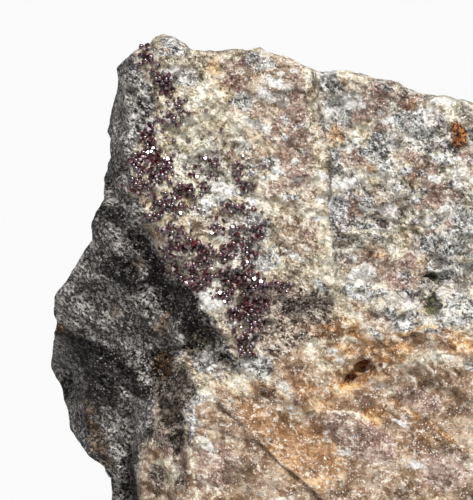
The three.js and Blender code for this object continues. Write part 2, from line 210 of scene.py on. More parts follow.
# %% Outline of the stone from the front, each point as [x, z]
LEFT_EDGE = [
    [-12.8, 0], [-13.6, 3.2], [-13.9, 7], [-14.0, 9.2], [-14.6, 10.1], [-15.9, 11.1], [-17.3, 12.7],
    [-18.0, 14.1], [-18.4, 16.4], [-19.0, 18.3], [-19.9, 20.0], [-19.9, 22.3], [-19.4, 24.8],
    [-19.8, 25.6], [-19.7, 27.2], [-18.1, 29.5], [-16.5, 31.9], [-15.8, 33.0], [-16.0, 34.4],
    [-15.5, 35.7], [-14.6, 37.1], [-14.6, 39.1], [-13.9, 41.2], [-13.9, 43.1], [-14.3, 43.8],
    [-13.7, 46.1], [-13.3, 49.1], [-13.4, 50.3],
]
TOP_EDGE = [
    [-13.4, 50.3], [-12.8, 50.9], [-11.6, 51.9], [-10.1, 52.7], [-9.7, 53.2], [-8.8, 53.7], [-7.5, 53.3],
    [-6.6, 52.7], [-5.9, 51.9], [-4.4, 51.9], [-1.5, 52.2], [1.1, 51.9], [3.7, 51.4], [5.4, 50.4],
    [7.2, 49.8], [9.3, 49.9], [11.0, 49.7], [12.4, 49.2], [14.1, 49.0], [15.5, 48.3], [17.3, 47.6],
    [19.4, 47.6], [20.8, 47.1], [22.3, 46.8], [24.2, 46.0], [25.9, 44.6], [26.9, 43.0],
]
RIGHT_EDGE = [
    [25.2, 0], [25.9, 4], [26.6, 9], [27.6, 15], [27.2, 20], [28.2, 26], [27.9, 31], [28.4, 36],
    [27.8, 40], [26.9, 43],
]
# The same outline further back, where it is plainer.
LEFT_BACK = [[-10.8, 0], [-11.8, 7], [-16.6, 15], [-17.6, 22], [-14.2, 33], [-12.6, 42], [-11.6, 50]]
RIGHT_BACK = [[23.0, 0], [25.4, 12], [26.6, 25], [26.4, 36], [24.6, 43]]
BACK_DEPTH = 29.5
CORNER_SQUARENESS = 0.5
TOP_HEIGHT = 50.6
TOP_FALL_RIGHT, TOP_FALL_BACK = 0.17, 0.3
SPINE_FROM, SPINE_TO, SPINE_DEPTH = -5, 19, 14  # the line that the top's rings close on
print("points of the outline:", len(LEFT_EDGE) + len(TOP_EDGE) + len(RIGHT_EDGE))


# %% Flat breaks, and the blocks that they bound
def tilted(x0, z0, depth, per_x, per_z):
    """A flat break: depth behind the display plane over x and z."""
    return lambda x, z: depth + per_x * (x - x0) + per_z * (z - z0)


DISPLAY_BREAK = tilted(0, 40, 0, 0.03, 0.01)
DARK_BREAK = tilted(-5, 26.5, 0, -0.553, -0.341)
UPPER_SLAB = [DISPLAY_BREAK, tilted(-12.2, 45, 0, -2.4, 0), DARK_BREAK]
WALL_ROCK_WEDGE = [
    DISPLAY_BREAK,
    DARK_BREAK,
    tilted(-14, 36.8, 1.5, -0.3, 1.8),
    tilted(-19.4, 25, 8.5, -1.34, -1.6),
]
WALL_ROCK_FOOT = [DISPLAY_BREAK, tilted(-12.4, 15, 12.0, -0.6, 0.1), tilted(-12.4, 17.4, 12.0, -0.3, 1.4)]
FOOT_BLOCK = [
    tilted(0, 14, -0.6, 0.02, 0.13),
    tilted(-6.3, 12, -0.9, -1.0, 0.1),
    tilted(-11.2, 10, 4.0, -9, 0),
    tilted(-6.3, 19, 0.4, -0.669, 0.602),
]
BLOCKS = [UPPER_SLAB, WALL_ROCK_WEDGE, WALL_ROCK_FOOT, FOOT_BLOCK]
print("blocks:", len(BLOCKS), "bounded by", sum(len(block) for block in BLOCKS), "flat breaks")

# %% Hollows and swellings: centre, half widths, and depth, which is negative where it stands out
HOLLOWS = {
    "scoop": [3.2, 24.9, 4.6, 2.2, 0.9],
    "rust_pit": [11.6, 20.2, 1.0, 0.6, 2.0],
    "rust_pit_tail": [10.2, 19.0, 1.2, 0.6, 1.3],
    "green_socket": [18.3, 26.9, 0.7, 1.1, 1.4],
    "upper_socket": [18.0, 29.3, 0.9, 0.4, 0.7],
    "shoulder_pit": [-12.1, 47.5, 0.7, 0.9, 0.9],
    "foot_pit": [-7.8, 15.6, 1.2, 0.8, 1.0],
    "foot_groove": [-6.9, 10.2, 0.6, 1.9, 0.8],
    "notch": [-8.7, 20.3, 1.5, 1.4, 1.7],
    "under_knob": [-6.6, 48.9, 1.6, 1.1, 0.6],
    "edge_notch": [-18.2, 18.6, 0.6, 0.9, 1.2],
    "cliff_foot": [-11.9, 8.5, 0.8, 3.0, 1.4],
    "peak_knob": [-8.4, 51.2, 2.0, 1.8, -1.0],
    "brow": [-9.5, 38.5, 3.2, 5.5, -0.5],
    "ledge_lip": [0.5, 29.5, 5.0, 2.4, -0.5],
}
print("hollows and swellings:", len(HOLLOWS))

# %% Steps along cracks: the upper right side stands proud, and falls back over the reach
FOOT_CRACK = [
    [-3.4, 17.1], [-1.5, 15.2], [0.1, 13.4], [1.3, 12.4], [2.8, 10.8], [4.8, 9.2], [7.0, 7.1],
    [10.5, 3.4], [12.6, 0],
]
STEPS = [
    {"line": FOOT_CRACK, "height": 0.45, "reach": 9},
    {"line": [[2.0, 27.3], [4.5, 27.2], [7.4, 27.1]], "height": 0.7, "reach": 4},
    {"line": [[22.5, 21.9], [18.0, 21.8], [14.0, 22.1], [10.5, 21.6]], "height": 0.4, "reach": 4},
]
# The right half lies a little behind the left, from an edge near the middle, down to a height.
RECESS_EDGE = [[6.2, 52], [6.4, 47], [7.2, 44], [7.8, 38], [8.3, 31], [8.6, 27]]
RECESS_DEPTH, RECESS_WIDTH = 0.9, 0.5
RECESS_FOOT, RECESS_FADE = 25, 4
FACE_ROLL = 1.0  # how far the face rolls back at its top edge
print("steps:", len(STEPS), "and a recess", RECESS_DEPTH, "mm deep")

# %% Flat breaks of the back and the sides: the way that each looks, and a point on it
BREAKS = {
    "back": ([0.06, 1, 0.08], [4, 27.6, 27]),
    "back_shoulder": ([-0.1, 0.72, 0.69], [2, 25.5, 39]),
    "back_right": ([0.78, 0.6, 0.1], [24.6, 19, 24]),
    "back_left": ([-0.66, 0.74, -0.05], [-11, 21.5, 28]),
    "left_flank": ([-0.93, 0.3, 0.18], [-16.8, 15, 28]),
    "right_shoulder": ([0.62, 0.12, 0.78], [22.5, 10, 44.4]),
    "back_foot": ([0.1, 0.86, -0.5], [5, 26, 6.5]),
    "left_heel": ([-0.8, 0.45, -0.4], [-13.6, 20, 8]),
}
EDGE_WEAR = 0.5
print("breaks at the back and sides:", len(BREAKS))

# %% [markdown]
# ## Roughness that is the same in the solid and in the skin
# Stone breaks into flats that meet in creases, not into soft waves. A sum of ridged (triangular) waves
# in scattered directions gives flats and creases, it never repeats in sight, and it needs no random
# numbers, so the CAD solid and this skin share it exactly.

# %% Ridged waves
WAVES = 9
GOLDEN_TURN, GOLDEN_SHARE = 2.39996, 0.618  # steps that never fall into a rhythm
SHORTEST, LENGTH_SPREAD = 0.7, 0.6  # lengths of the waves, in shares of the one that is asked for
SEED_STEP, PHASE_STEP = 0.37, 2.4
USUAL_SUM = 2.4  # brings the sum of all the waves to about 1


def ripple(x, y, z, wavelength, seed):
    """A sum of ridged waves, mostly from -1 to 1."""
    total = 0.0
    for i in range(WAVES):
        rise = 1 - (2 * i + 1) / WAVES
        level = math.sqrt(1 - rise * rise)
        turn = GOLDEN_TURN * i + seed
        distance = x * level * math.cos(turn) + y * level * math.sin(turn) + z * rise
        length = wavelength * (SHORTEST + LENGTH_SPREAD * ((i * GOLDEN_SHARE + seed * SEED_STEP) % 1))
        total = total + np.arcsin(np.sin(2 * math.pi * distance / length + PHASE_STEP * i * i + seed))
    return total * (2 / math.pi) / USUAL_SUM


def smooth(value):
    """From 0 to 1, levelling out at both."""
    t = np.clip(value, 0, 1)
    return t * t * (3 - 2 * t)


print("a ripple in the middle of the stone:", round(float(ripple(0, 12, 27, 8, 2.3)), 3))


# %% Points along an outline, and beside a line
def along(line, share):
    """The points at shares of a line's length."""
    line = np.array(line, float)
    walked = np.concatenate([[0], np.cumsum(np.hypot(*np.diff(line, axis=0).T))])
    return [np.interp(share * walked[-1], walked, line[:, k]) for k in (0, 1)]


def beside_line(line, x, z):
    """Distance to a line, 1 or -1 for its upper right or lower left, and how far past its ends."""
    distance, side, past = np.full(x.shape, np.inf), np.ones(x.shape), np.zeros(x.shape)
    for (ax, az), (bx, bz) in zip(line, line[1:]):
        dx, dz = bx - ax, bz - az
        t = ((x - ax) * dx + (z - az) * dz) / (dx * dx + dz * dz)
        inside = np.clip(t, 0, 1)
        away = np.hypot(x - ax - inside * dx, z - az - inside * dz)
        nearer = away < distance
        distance = np.where(nearer, away, distance)
        side = np.where(nearer, np.sign(dx * (z - az) - dz * (x - ax)), side)
        past = np.where(nearer, np.abs(t - inside) * math.hypot(dx, dz), past)
    return distance, side, past


print("half way up the left edge, x and z:", [round(float(v), 1) for v in along(LEFT_EDGE, 0.5)])

# %% [markdown]
# ## Depth of the display face
# The face could be sculpted, but a function of x and z can be read, changed and asked again wherever
# a crystal is to stand. It takes the foremost block, sinks the hollows, lifts the steps, sets the
# right half back and rolls the top edge over. Ripples then bend it all, as no break is quite flat.

# %% Depth of the display face
STEP_EDGE, STEP_FADE = 0.25, 1.5
BEND, BEND_LENGTH = 0.35, 4.5  # how far the edges of the blocks stray, and over what length
SWELL, SWELL_LENGTH = 0.42, 8
CREASE, CREASE_LENGTH = 0.2, 3.4


def face_depth(x, z):
    """How far the display face lies behind the display plane, in mm."""
    wx = x + BEND * ripple(x, 0, z, BEND_LENGTH, 1.7)
    wz = z + BEND * ripple(x, 0, z, BEND_LENGTH, 5.1)
    fronts = [np.maximum.reduce([flat(wx, wz) for flat in block]) for block in BLOCKS]
    depth = np.minimum.reduce(fronts)
    for cx, cz, half_x, half_z, deep in HOLLOWS.values():
        depth = depth + deep * np.exp(-(((x - cx) / half_x) ** 2) - ((z - cz) / half_z) ** 2)
    for step in STEPS:
        distance, side, past = beside_line(step["line"], x, z)
        fade = np.exp(-distance / step["reach"] - past / STEP_FADE)
        depth = depth - step["height"] * fade * smooth(0.5 + side * distance / STEP_EDGE)
    edge = np.array(RECESS_EDGE[::-1])
    behind = smooth((x - np.interp(z, edge[:, 1], edge[:, 0])) / RECESS_WIDTH)
    depth = depth + RECESS_DEPTH * behind * smooth((z - RECESS_FOOT) / RECESS_FADE)
    to_top = np.interp(x, *np.array(TOP_EDGE).T) - z
    rolled = np.sqrt(np.clip(FACE_ROLL**2 - (FACE_ROLL - to_top) ** 2, 0, None))
    depth = depth + np.where(to_top < FACE_ROLL, FACE_ROLL - rolled, 0)
    swell = SWELL * ripple(x, depth, z, SWELL_LENGTH, 2.3)
    return depth + swell + CREASE * ripple(x, depth, z, CREASE_LENGTH, 8.9)


wedge_x, wedge_z = np.array([-17.0]), np.array([27.0])
print("the wall rock lies back by, mm:", round(float(face_depth(wedge_x, wedge_z)[0]), 1))


# %% [markdown]
# ## The skin as a grid
# A stone could be sculpted, or remeshed from the CAD solid, but a grid that follows the outline keeps
# the outline exact and puts the fine mesh where it is looked at. The display face gets a fine grid,
# and the sides, back and top one three times coarser, sewn to it along the outline.

# %% Sizes of the grids
ROWS, FRONT_COLUMNS, BACK_COLUMNS = 88, 80, 168
FINE = 3
TOP_SHARES = np.linspace(0, 0.94, 23)[1:]  # where the top's rings lie between the rim and the spine
print("squares of the display face, mm:", round(TOP_HEIGHT / (FINE * ROWS), 2))


# %% The display face and the top, as functions of where a point lies
TOP_MIDDLE = 4
TOP_SWELL, TOP_SWELL_LENGTH = 0.4, 9


def face_points(share, rise):
    """Points of the face from shares of the way across and up it."""
    left, right, top = along(LEFT_EDGE, rise), along(RIGHT_EDGE, rise), along(TOP_EDGE, share)
    chord = [TOP_EDGE[0][k] + (TOP_EDGE[-1][k] - TOP_EDGE[0][k]) * share for k in (0, 1)]
    x, z = [left[k] + (right[k] - left[k]) * share + (top[k] - chord[k]) * rise for k in (0, 1)]
    return np.stack([x, face_depth(x, z), z], -1)


def top_height(x, y):
    plain = TOP_HEIGHT - TOP_FALL_RIGHT * (x - TOP_MIDDLE) - TOP_FALL_BACK * y
    return plain + TOP_SWELL * ripple(x, y, 0, TOP_SWELL_LENGTH, 4.4)


front_and_back = [round(float(top_height(0, y)), 1) for y in (0, 28)]
print("height of the top in front and at the back, mm:", *front_and_back)


# %% Breaking points off flat
def broken(points):
    """Pulls points back to each flat break that they lie beyond, with worn edges between the breaks."""
    for towards, at in BREAKS.values():
        normal = np.array(towards) / np.linalg.norm(towards)
        beyond = (points - at) @ normal
        points = points - np.outer(EDGE_WEAR * np.logaddexp(0, beyond / EDGE_WEAR), normal)
    return points


print("a point at y 40 is broken off at y", broken(np.array([[4.0, 40.0, 27.0]]))[0, 1].round(1))

# %% The sides and back
BACK_FULLNESS = 0.8  # under 1, the back is fuller at its corners
BACK_SWELL, BACK_SWELL_LENGTH = 0.8, 12
BACK_CREASE, BACK_CREASE_LENGTH = 0.25, 4.2


def back_points(turn, rise):
    """Points of the sides and back, from shares of the way round from right to left, and up."""
    angle = math.pi * turn
    around = np.sin(angle) ** CORNER_SQUARENESS
    across = 0.5 + 0.5 * np.sign(np.cos(angle)) * np.abs(np.cos(angle)) ** BACK_FULLNESS
    right, left = face_points(np.ones_like(rise), rise), face_points(np.zeros_like(rise), rise)
    plain_right = right[:, 0] + (along(RIGHT_BACK, rise)[0] - right[:, 0]) * around
    plain_left = left[:, 0] + (along(LEFT_BACK, rise)[0] - left[:, 0]) * around
    x = plain_left + (plain_right - plain_left) * across
    rim = left[:, 1] + (right[:, 1] - left[:, 1]) * across
    y = rim + (BACK_DEPTH - rim) * around
    edge_height = left[:, 2] + (right[:, 2] - left[:, 2]) * across
    edge_top = LEFT_EDGE[-1][1] + (RIGHT_EDGE[-1][1] - LEFT_EDGE[-1][1]) * across
    top = edge_top + (top_height(x, y) - edge_top) * around
    z = edge_height + (rise * top - edge_height) * around
    outward = np.stack([np.cos(angle), np.sin(angle), np.zeros_like(angle)], -1) * around[:, None]
    points = np.stack([x, y, z], -1)
    points = broken(points + outward * BACK_SWELL * ripple(x, y, z, BACK_SWELL_LENGTH, 3.3)[:, None])
    points = points + outward * BACK_CREASE * ripple(*points.T, BACK_CREASE_LENGTH, 6.1)[:, None]
    points[rise == 0, 2] = 0
    return points


half_way = back_points(np.array([0.5]), np.array([0.5]))[0]
print("the back is", round(half_way[1], 1), "mm behind the display plane, half way up")


# %% Functions that join rows of points
def sew(fine, coarse):
    """Triangles between a fine row of points and a coarse one, with FINE fine steps to each coarse step."""
    faces = []
    for k in range(len(coarse) - 1):
        f = fine[FINE * k : FINE * k + FINE + 1]
        faces += [(f[0], f[1], coarse[k]), (f[1], f[2], coarse[k]), (f[2], coarse[k + 1], coarse[k])]
        faces += [(f[2], f[3], coarse[k + 1])]
    return faces


def quads(lower, upper):
    return list(zip(lower[:-1], lower[1:], upper[1:], upper[:-1]))


seam_length = len(sew(range(FINE * ROWS + 1), range(ROWS + 1)))
print("a seam of", ROWS, "coarse steps takes", seam_length, "triangles")

# %% Points of the face, the back and the top
rise, share = np.meshgrid(
    np.linspace(0, 1, FINE * ROWS + 1), np.linspace(0, 1, FINE * FRONT_COLUMNS + 1), indexing="ij"
)
front = face_points(share.ravel(), rise.ravel())
front_ids = np.arange(len(front)).reshape(rise.shape)
back_rise, back_turn = np.meshgrid(
    np.linspace(0, 1, ROWS + 1), np.arange(1, BACK_COLUMNS) / BACK_COLUMNS, indexing="ij"
)
back = back_points(back_turn.ravel(), back_rise.ravel())
back_ids = len(front) + np.arange(len(back)).reshape(back_rise.shape)
rim = np.concatenate([front[front_ids[-1, ::FINE]], back[back_ids[-1] - len(front)]])
spine = np.stack([np.clip(rim[:, 0], SPINE_FROM, SPINE_TO), np.full(len(rim), SPINE_DEPTH)], -1)
top_rings = []
for part in TOP_SHARES:
    plan = rim[:, :2] + (spine - rim[:, :2]) * part
    height = rim[:, 2] + (top_height(*plan.T) - rim[:, 2]) * smooth(part * 3)
    top_rings.append(broken(np.column_stack([plan, height])))
skin_points = np.concatenate([front, back, *top_rings])
top_ids = len(front) + len(back) + np.arange(len(TOP_SHARES) * len(rim)).reshape(len(TOP_SHARES), -1)
print("points: face", len(front), "back", len(back), "top", top_ids.size)


# %% Faces, sheet by sheet
def grid_faces(rows):
    return [face for lower, upper in zip(rows, rows[1:]) for face in quads(lower, upper)]


back_rim = [front_ids[-1, -1], *back_ids[-1], front_ids[-1, 0]]
back_ring = [*top_ids[0, FRONT_COLUMNS:], top_ids[0, 0]]
right_seam = [face[::-1] for face in sew(front_ids[:, -1], back_ids[:, 0])]
left_seam = sew(front_ids[:, 0], back_ids[:, -1])
top_seam = sew(front_ids[-1], top_ids[0, : FRONT_COLUMNS + 1]) + quads(back_rim, back_ring)
rings = [[*ring, ring[0]] for ring in top_ids]
charts = {
    "front": grid_faces(front_ids),
    "back": grid_faces(back_ids) + right_seam + left_seam,
    "top": top_seam + grid_faces(rings) + [tuple(top_ids[-1])],
    "base": [(*front_ids[0], *back_ids[0])[::-1]],
}
skin_faces = [face for faces in charts.values() for face in faces]
print("skin:", len(skin_points), "points,", len(skin_faces), "faces")


# %% [markdown]
# ## Which mineral is where
# The colours of the stone are mostly minerals, so each gets a field: 1 in the middle of a
# patch, 0 at its rim. A few fields are painted shade and light, wholly or in part: the wall rock's
# hollows and the lip of its ridge, the scoop, the gaps in the main druses and the step beside the
# recess. The patches are a few ellipses given on the display face, and clouds of noise elsewhere.
# The shader later breaks their rims up with fine noise, as grains do in the stone.

# %% Repeatable noise: a number for each cell of a lattice, and clouds blended from them
def scatter(cells, seed):
    """A number from 0 to 1 for each cell. Large odd factors and shifts mix its three numbers well."""
    mixed = cells[..., 0] * 73856093 ^ cells[..., 1] * 19349663 ^ cells[..., 2] * 83492791
    mixed = (mixed ^ (seed * 668265263)) & 0xFFFFFFFF
    for shift in (15, 13, 16):
        mixed = ((mixed ^ (mixed >> shift)) * 0x2C1B3C6D) & 0xFFFFFFFF
    return (mixed >> 8) / 0xFFFFFF


OCTAVE_SHIFT = 31.7  # keeps the finer lattices from lining up with the coarser


def cloud(points, size, seed, octaves=2):
    """Soft noise from 0 to 1 with lumps of about a size."""
    total, weight = 0.0, 1.0
    for octave in range(octaves):
        places = points * 2**octave / size + OCTAVE_SHIFT * octave
        cells = np.floor(places).astype(np.int64)
        t = places - cells
        t = t * t * (3 - 2 * t)
        value = 0.0
        for corner in itertools.product((0, 1), repeat=3):
            share = np.prod(np.where(corner, t, 1 - t), axis=-1)
            value = value + share * scatter(cells + corner, seed + octave)
        total, weight = total + value * 0.5**octave, weight if octave == 0 else weight + 0.5**octave
    return total / weight


print("a cloud along a line:", np.round(cloud(np.arange(4)[:, None] * [1.0, 0, 0], 1.6, 11), 2))

# %% Stained quartz and crust: patches as [x, z, half width, half height, turn in degrees]
PATCHES = {
    "warm": [
        [12.0, 9.0, 16.0, 10.0, 0], [-2.0, 8.5, 9.0, 9.0, 0], [18.0, 18.4, 7.0, 2.4, -4],
        [5.0, 20.0, 3.6, 2.6, -20], [10.4, 25.4, 2.2, 1.6, -20], [15.0, 22.4, 9.0, 1.6, -4],
        [-2.0, 17.6, 3.0, 1.6, 0],
    ],
    "crust": [
        [-6.9, 47.1, 2.6, 1.2, 0], [-3.4, 47.2, 1.5, 1.4, 0], [-2.2, 44.6, 3.4, 1.1, -12],
        [-9.2, 43.0, 1.2, 2.4, 0], [-10.9, 39.6, 0.9, 2.2, 0], [-6.0, 42.8, 2.2, 1.4, -30],
        [-9.6, 35.7, 1.8, 1.3, -20], [-5.7, 33.8, 2.5, 1.0, -32], [-8.0, 37.8, 2.6, 1.6, -20],
        [1.5, 42.6, 1.5, 0.6, -35], [2.4, 36.4, 1.5, 0.8, -15], [4.4, 35.4, 3.4, 0.35, -4],
        [6.8, 39.6, 0.6, 1.2, 5], [7.2, 31.6, 0.6, 2.6, 0],
        [10.8, 43.7, 1.1, 0.6, 0], [15.1, 33.0, 1.0, 2.2, -14], [20.0, 45.8, 0.9, 0.6, 0],
        [9.4, 26.0, 2.2, 1.0, -35], [16.5, 21.4, 4.6, 0.4, -3], [7.0, 20.6, 2.4, 0.3, -42],
        [11.5, 20.9, 2.2, 0.35, 22], [-1.2, 18.3, 1.9, 1.0, -20], [-4.4, 18.7, 1.4, 1.2, 0],
        [-8.4, 9.6, 1.5, 1.6, 20], [-3.2, 31.9, 0.9, 0.7, 0],
    ],
    "dull": [[15.8, 37.0, 8.4, 14.0, 0], [-8.8, 9.4, 2.2, 4.4, 0]],
    "tan": [[3.6, 43.0, 3.8, 9.0, 6], [5.4, 33.6, 2.2, 2.6, 0]],
}
print("broad minerals:", *PATCHES)

# %% Milky, smoky and rose quartz
PATCHES |= {
    "milk": [
        [-2.7, 37.9, 1.3, 0.8, -12], [-4.1, 26.9, 1.2, 1.2, -40], [10.3, 46.9, 1.3, 0.8, -20],
        [7.8, 45.3, 0.6, 0.8, 0], [18.0, 45.2, 0.6, 0.9, 0], [14.1, 44.8, 0.6, 0.4, 0],
        [21.6, 39.4, 1.4, 0.9, 0], [11.2, 29.4, 1.5, 1.0, 20], [13.8, 35.8, 1.1, 0.6, -10],
        [16.2, 26.6, 0.9, 0.6, 0], [12.6, 18.5, 1.0, 0.7, 0], [8.7, 21.3, 1.2, 0.4, -25],
        [-4.4, 12.6, 1.0, 0.5, -30], [11.2, 15.2, 0.8, 0.3, -30], [14.8, 14.6, 0.9, 0.3, -30],
        [9.2, 11.8, 0.6, 0.3, 0], [16.6, 10.4, 0.9, 0.3, -20], [3.2, 18.2, 0.6, 0.5, 30],
        [2.2, 47.1, 1.9, 0.7, -28], [2.9, 48.6, 1.3, 0.5, -28], [1.0, 44.4, 1.3, 0.5, -30],
        [9.3, 38.6, 0.9, 0.6, 0],
    ],
    "grey": [
        [-8.3, 52.2, 1.8, 1.0, 0], [-6.5, 49.0, 1.7, 1.3, 0], [1.2, 50.8, 1.5, 0.9, 0],
        [-0.8, 46.7, 1.4, 0.9, -20], [-5.1, 41.8, 1.8, 1.3, 0], [-2.9, 38.3, 2.8, 1.8, -10],
        [0.2, 34.0, 1.9, 1.6, 0], [1.5, 30.9, 1.6, 0.9, 0], [8.0, 47.8, 1.1, 3.2, 8],
        [9.0, 45.4, 1.4, 1.2, -20], [17.0, 44.7, 2.6, 1.4, -10], [12.4, 42.4, 2.5, 1.2, -15],
        [18.4, 42.2, 2.5, 1.2, -20], [8.9, 36.6, 1.1, 3.0, 5], [12.3, 36.9, 1.5, 1.0, 20],
        [16.4, 37.6, 1.0, 1.0, -40], [21.4, 35.0, 1.2, 1.6, 0], [19.8, 31.4, 2.8, 2.6, 0],
        [11.4, 27.8, 2.2, 0.8, -10], [7.2, 27.4, 0.9, 1.4, 0], [12.6, 23.7, 0.7, 0.6, 0],
        [18.4, 23.3, 1.2, 1.3, 0], [15.4, 25.2, 2.0, 1.0, -10], [21.0, 26.0, 2.2, 1.6, 0],
        [10.6, 38.2, 1.4, 0.9, -20], [14.6, 40.4, 1.6, 0.8, -20], [11.8, 34.4, 1.6, 0.7, -10],
        [-4.4, 28.0, 0.9, 1.4, -30], [-5.2, 36.4, 1.4, 1.0, -20], [-5.2, 17.8, 1.4, 1.4, -30],
        [-6.2, 15.0, 1.0, 1.8, 0], [0.8, 20.4, 1.6, 1.2, -30], [-4.0, 20.6, 1.8, 1.2, -30],
    ],
    "rose": [
        [8.1, 48.5, 1.0, 1.3, 0], [13.3, 48.1, 1.3, 1.0, -20], [16.0, 46.9, 1.5, 0.7, -15],
        [12.2, 45.4, 2.4, 1.5, -32], [10.2, 41.2, 1.4, 1.1, 0], [10.1, 36.4, 1.3, 1.9, 0],
        [16.4, 40.2, 2.2, 1.4, -24], [18.0, 37.6, 2.8, 1.6, 10], [12.8, 47.6, 1.6, 1.2, -20],
        [15.0, 30.0, 2.8, 2.0, 14], [10.6, 31.0, 1.2, 0.9, 0], [5.0, 46.4, 1.9, 3.4, 10],
        [3.6, 40.2, 2.8, 2.2, -10], [4.0, 43.6, 2.0, 1.4, -10],
        [11.2, 13.0, 3.8, 2.0, -30], [19.5, 10.0, 2.8, 2.2, 0], [16.8, 17.0, 2.4, 1.2, -20],
        [-3.4, 10.2, 2.4, 2.6, -20], [8.8, 15.0, 1.4, 0.8, -30], [-1.2, 48.6, 1.4, 1.2, 0],
        [20.8, 42.0, 1.2, 0.9, 0], [-7.4, 12.4, 1.6, 1.6, 0],
    ],
}
print("patches of milky quartz:", len(PATCHES["milk"]), "smoky:", len(PATCHES["grey"]))

# %% Stains, green-black spots and dusky hollows
PATCHES |= {
    "ochre": [
        [-3.4, 50.3, 0.6, 0.8, 0], [8.4, 43.4, 1.0, 0.9, 10], [8.5, 24.0, 2.1, 0.9, 8],
        [14.7, 21.9, 1.8, 0.7, -15], [20.6, 22.4, 1.1, 1.0, 0], [9.9, 21.9, 1.3, 0.5, -10],
        [12.1, 40.3, 0.8, 0.5, 0], [12.8, 31.9, 0.9, 0.7, 0], [1.4, 18.0, 1.6, 0.7, -20],
        [12.4, 15.4, 1.6, 0.8, 0], [17.5, 13.1, 0.9, 0.5, -20], [20.8, 22.4, 1.4, 0.6, -8],
        [14.0, 21.4, 1.2, 0.5, -10], [-11.6, 47.0, 0.4, 0.6, 20],
    ],
    "peach": [
        [10.0, 19.2, 3.2, 1.5, 32], [13.0, 21.4, 2.4, 0.8, -10], [12.6, 19.0, 1.6, 0.8, 30],
        [5.4, 11.6, 4.4, 2.8, -42], [1.0, 15.0, 3.0, 1.2, -42], [6.0, 17.6, 2.4, 1.3, -30],
        [20.0, 22.6, 3.0, 1.0, -8],
    ],
    "rust": [[20.7, 43.5, 0.7, 1.4, 0], [9.8, 19.0, 1.2, 0.4, 38], [11.4, 20.2, 0.6, 0.3, 30]],
    "moss": [
        [18.3, 29.3, 1.1, 0.6, -10], [18.4, 26.6, 0.7, 1.2, 0], [15.1, 25.0, 0.5, 0.3, 25],
        [16.5, 33.7, 0.3, 0.3, 0], [18.8, 43.7, 0.3, 0.4, 0],
        [-10.1, 50.9, 0.4, 0.5, 0], [8.9, 42.6, 0.4, 0.3, 0],
    ],
    "dusk": [
        # The first three lie in the scoop under the ledge: dark fine-grained quartz, darkened further as
        # painted shade.
        [4.2, 26.4, 4.4, 2.2, -6], [5.6, 25.4, 2.7, 2.9, 0], [2.6, 24.2, 2.6, 2.6, -30],
        [-8.6, 13.6, 1.4, 1.4, 0], [-9.4, 9.0, 0.6, 1.8, 0], [-7.2, 10.0, 0.5, 2.0, 10],
    ],
}
print("patches in all:", sum(len(patches) for patches in PATCHES.values()))

# %% Thin veins along lines, in the same fields: half width, then the points
VEINS = {
    "crust": [
        [0.5, [[5.9, 49.6], [6.5, 44.2], [7.1, 39.2], [7.5, 34.6], [7.8, 30.6]]],
        [0.18, [[9.0, 33.6], [12.0, 33.9], [15.2, 33.2]]], [0.2, [[7.8, 29.0], [8.8, 27.0], [8.2, 24.4]]],
        [0.22, [[5.6, 22.8], [7.3, 20.4], [9.6, 19.6]]], [0.2, [[5.8, 22.6], [9.9, 23.2], [14.8, 21.3]]],
        [0.2, [[12.4, 20.6], [15.0, 20.4], [19.0, 22.3], [22.4, 22.0]]],
        [0.2, [[-5.6, 20.0], [-4.0, 18.0], [-3.3, 16.8]]],
        [0.15, [[-6.4, 15.6], [-6.6, 13.0], [-5.8, 10.0], [-5.2, 7.0]]],
    ],
    "ochre": [
        [0.3, [[7.0, 23.6], [9.6, 23.9], [12.0, 22.6]]], [0.25, [[8.0, 21.0], [9.4, 21.8], [12.6, 22.4]]],
        [0.3, [[8.2, 18.2], [11.0, 18.6], [13.4, 21.0]]], [0.2, [[14.6, 23.6], [18.0, 24.4], [22.0, 23.4]]],
        [0.3, [[14.4, 17.0], [16.6, 15.5], [18.2, 14.6], [20.2, 13.0]]],
    ],
    "grey": [[0.6, [[7.6, 44.6], [8.6, 40.6], [9.0, 36.6], [9.2, 33.4]]]],
    # Painted highlight: a pale band along the lit lip of the wall rock's ridge.
    "slate": [[0.45, [[-19.2, 25.0], [-17.0, 24.6], [-14.6, 22.6], [-12.0, 20.4], [-10.6, 19.0]]]],
    # Painted shade: a dark band just under the lit lip of the wall rock's ridge.
    "painted_wall_shade": [[0.8, [[-18.8, 23.4], [-16.8, 22.2], [-14.4, 20.4], [-12.2, 18.8], [-10.8, 17.8]]]],
}
print("veins:", {name: len(veins) for name, veins in VEINS.items()})

# %% The wall rock's contact with the quartz, down the display face and round by the far left
WALL_ROCK_CONTACT = [
    [-12.4, 56], [-11.7, 52.5], [-11.0, 50.0], [-10.0, 48.2], [-9.7, 46.0], [-11.0, 44.2],
    [-11.9, 43.0], [-12.0, 40.5], [-12.1, 38.0], [-11.0, 36.5], [-10.8, 34.8], [-9.8, 33.0],
    [-8.9, 31.5], [-8.0, 29.8], [-6.4, 28.4], [-5.3, 27.4], [-4.3, 26.0], [-3.2, 24.2], [-2.2, 22.5],
    [-1.2, 20.6], [-1.2, 19.6], [-2.4, 20.8], [-3.8, 22.0], [-5.2, 22.4], [-6.4, 21.5], [-7.2, 20.8],
    [-7.5, 19.0], [-9.0, 17.5], [-9.8, 16.0], [-10.0, 14.0], [-10.8, 12.0], [-11.2, 9.5],
    [-11.4, 7.0], [-11.6, -1], [-40, -1], [-40, 56],
]
print("points of the contact:", len(WALL_ROCK_CONTACT))
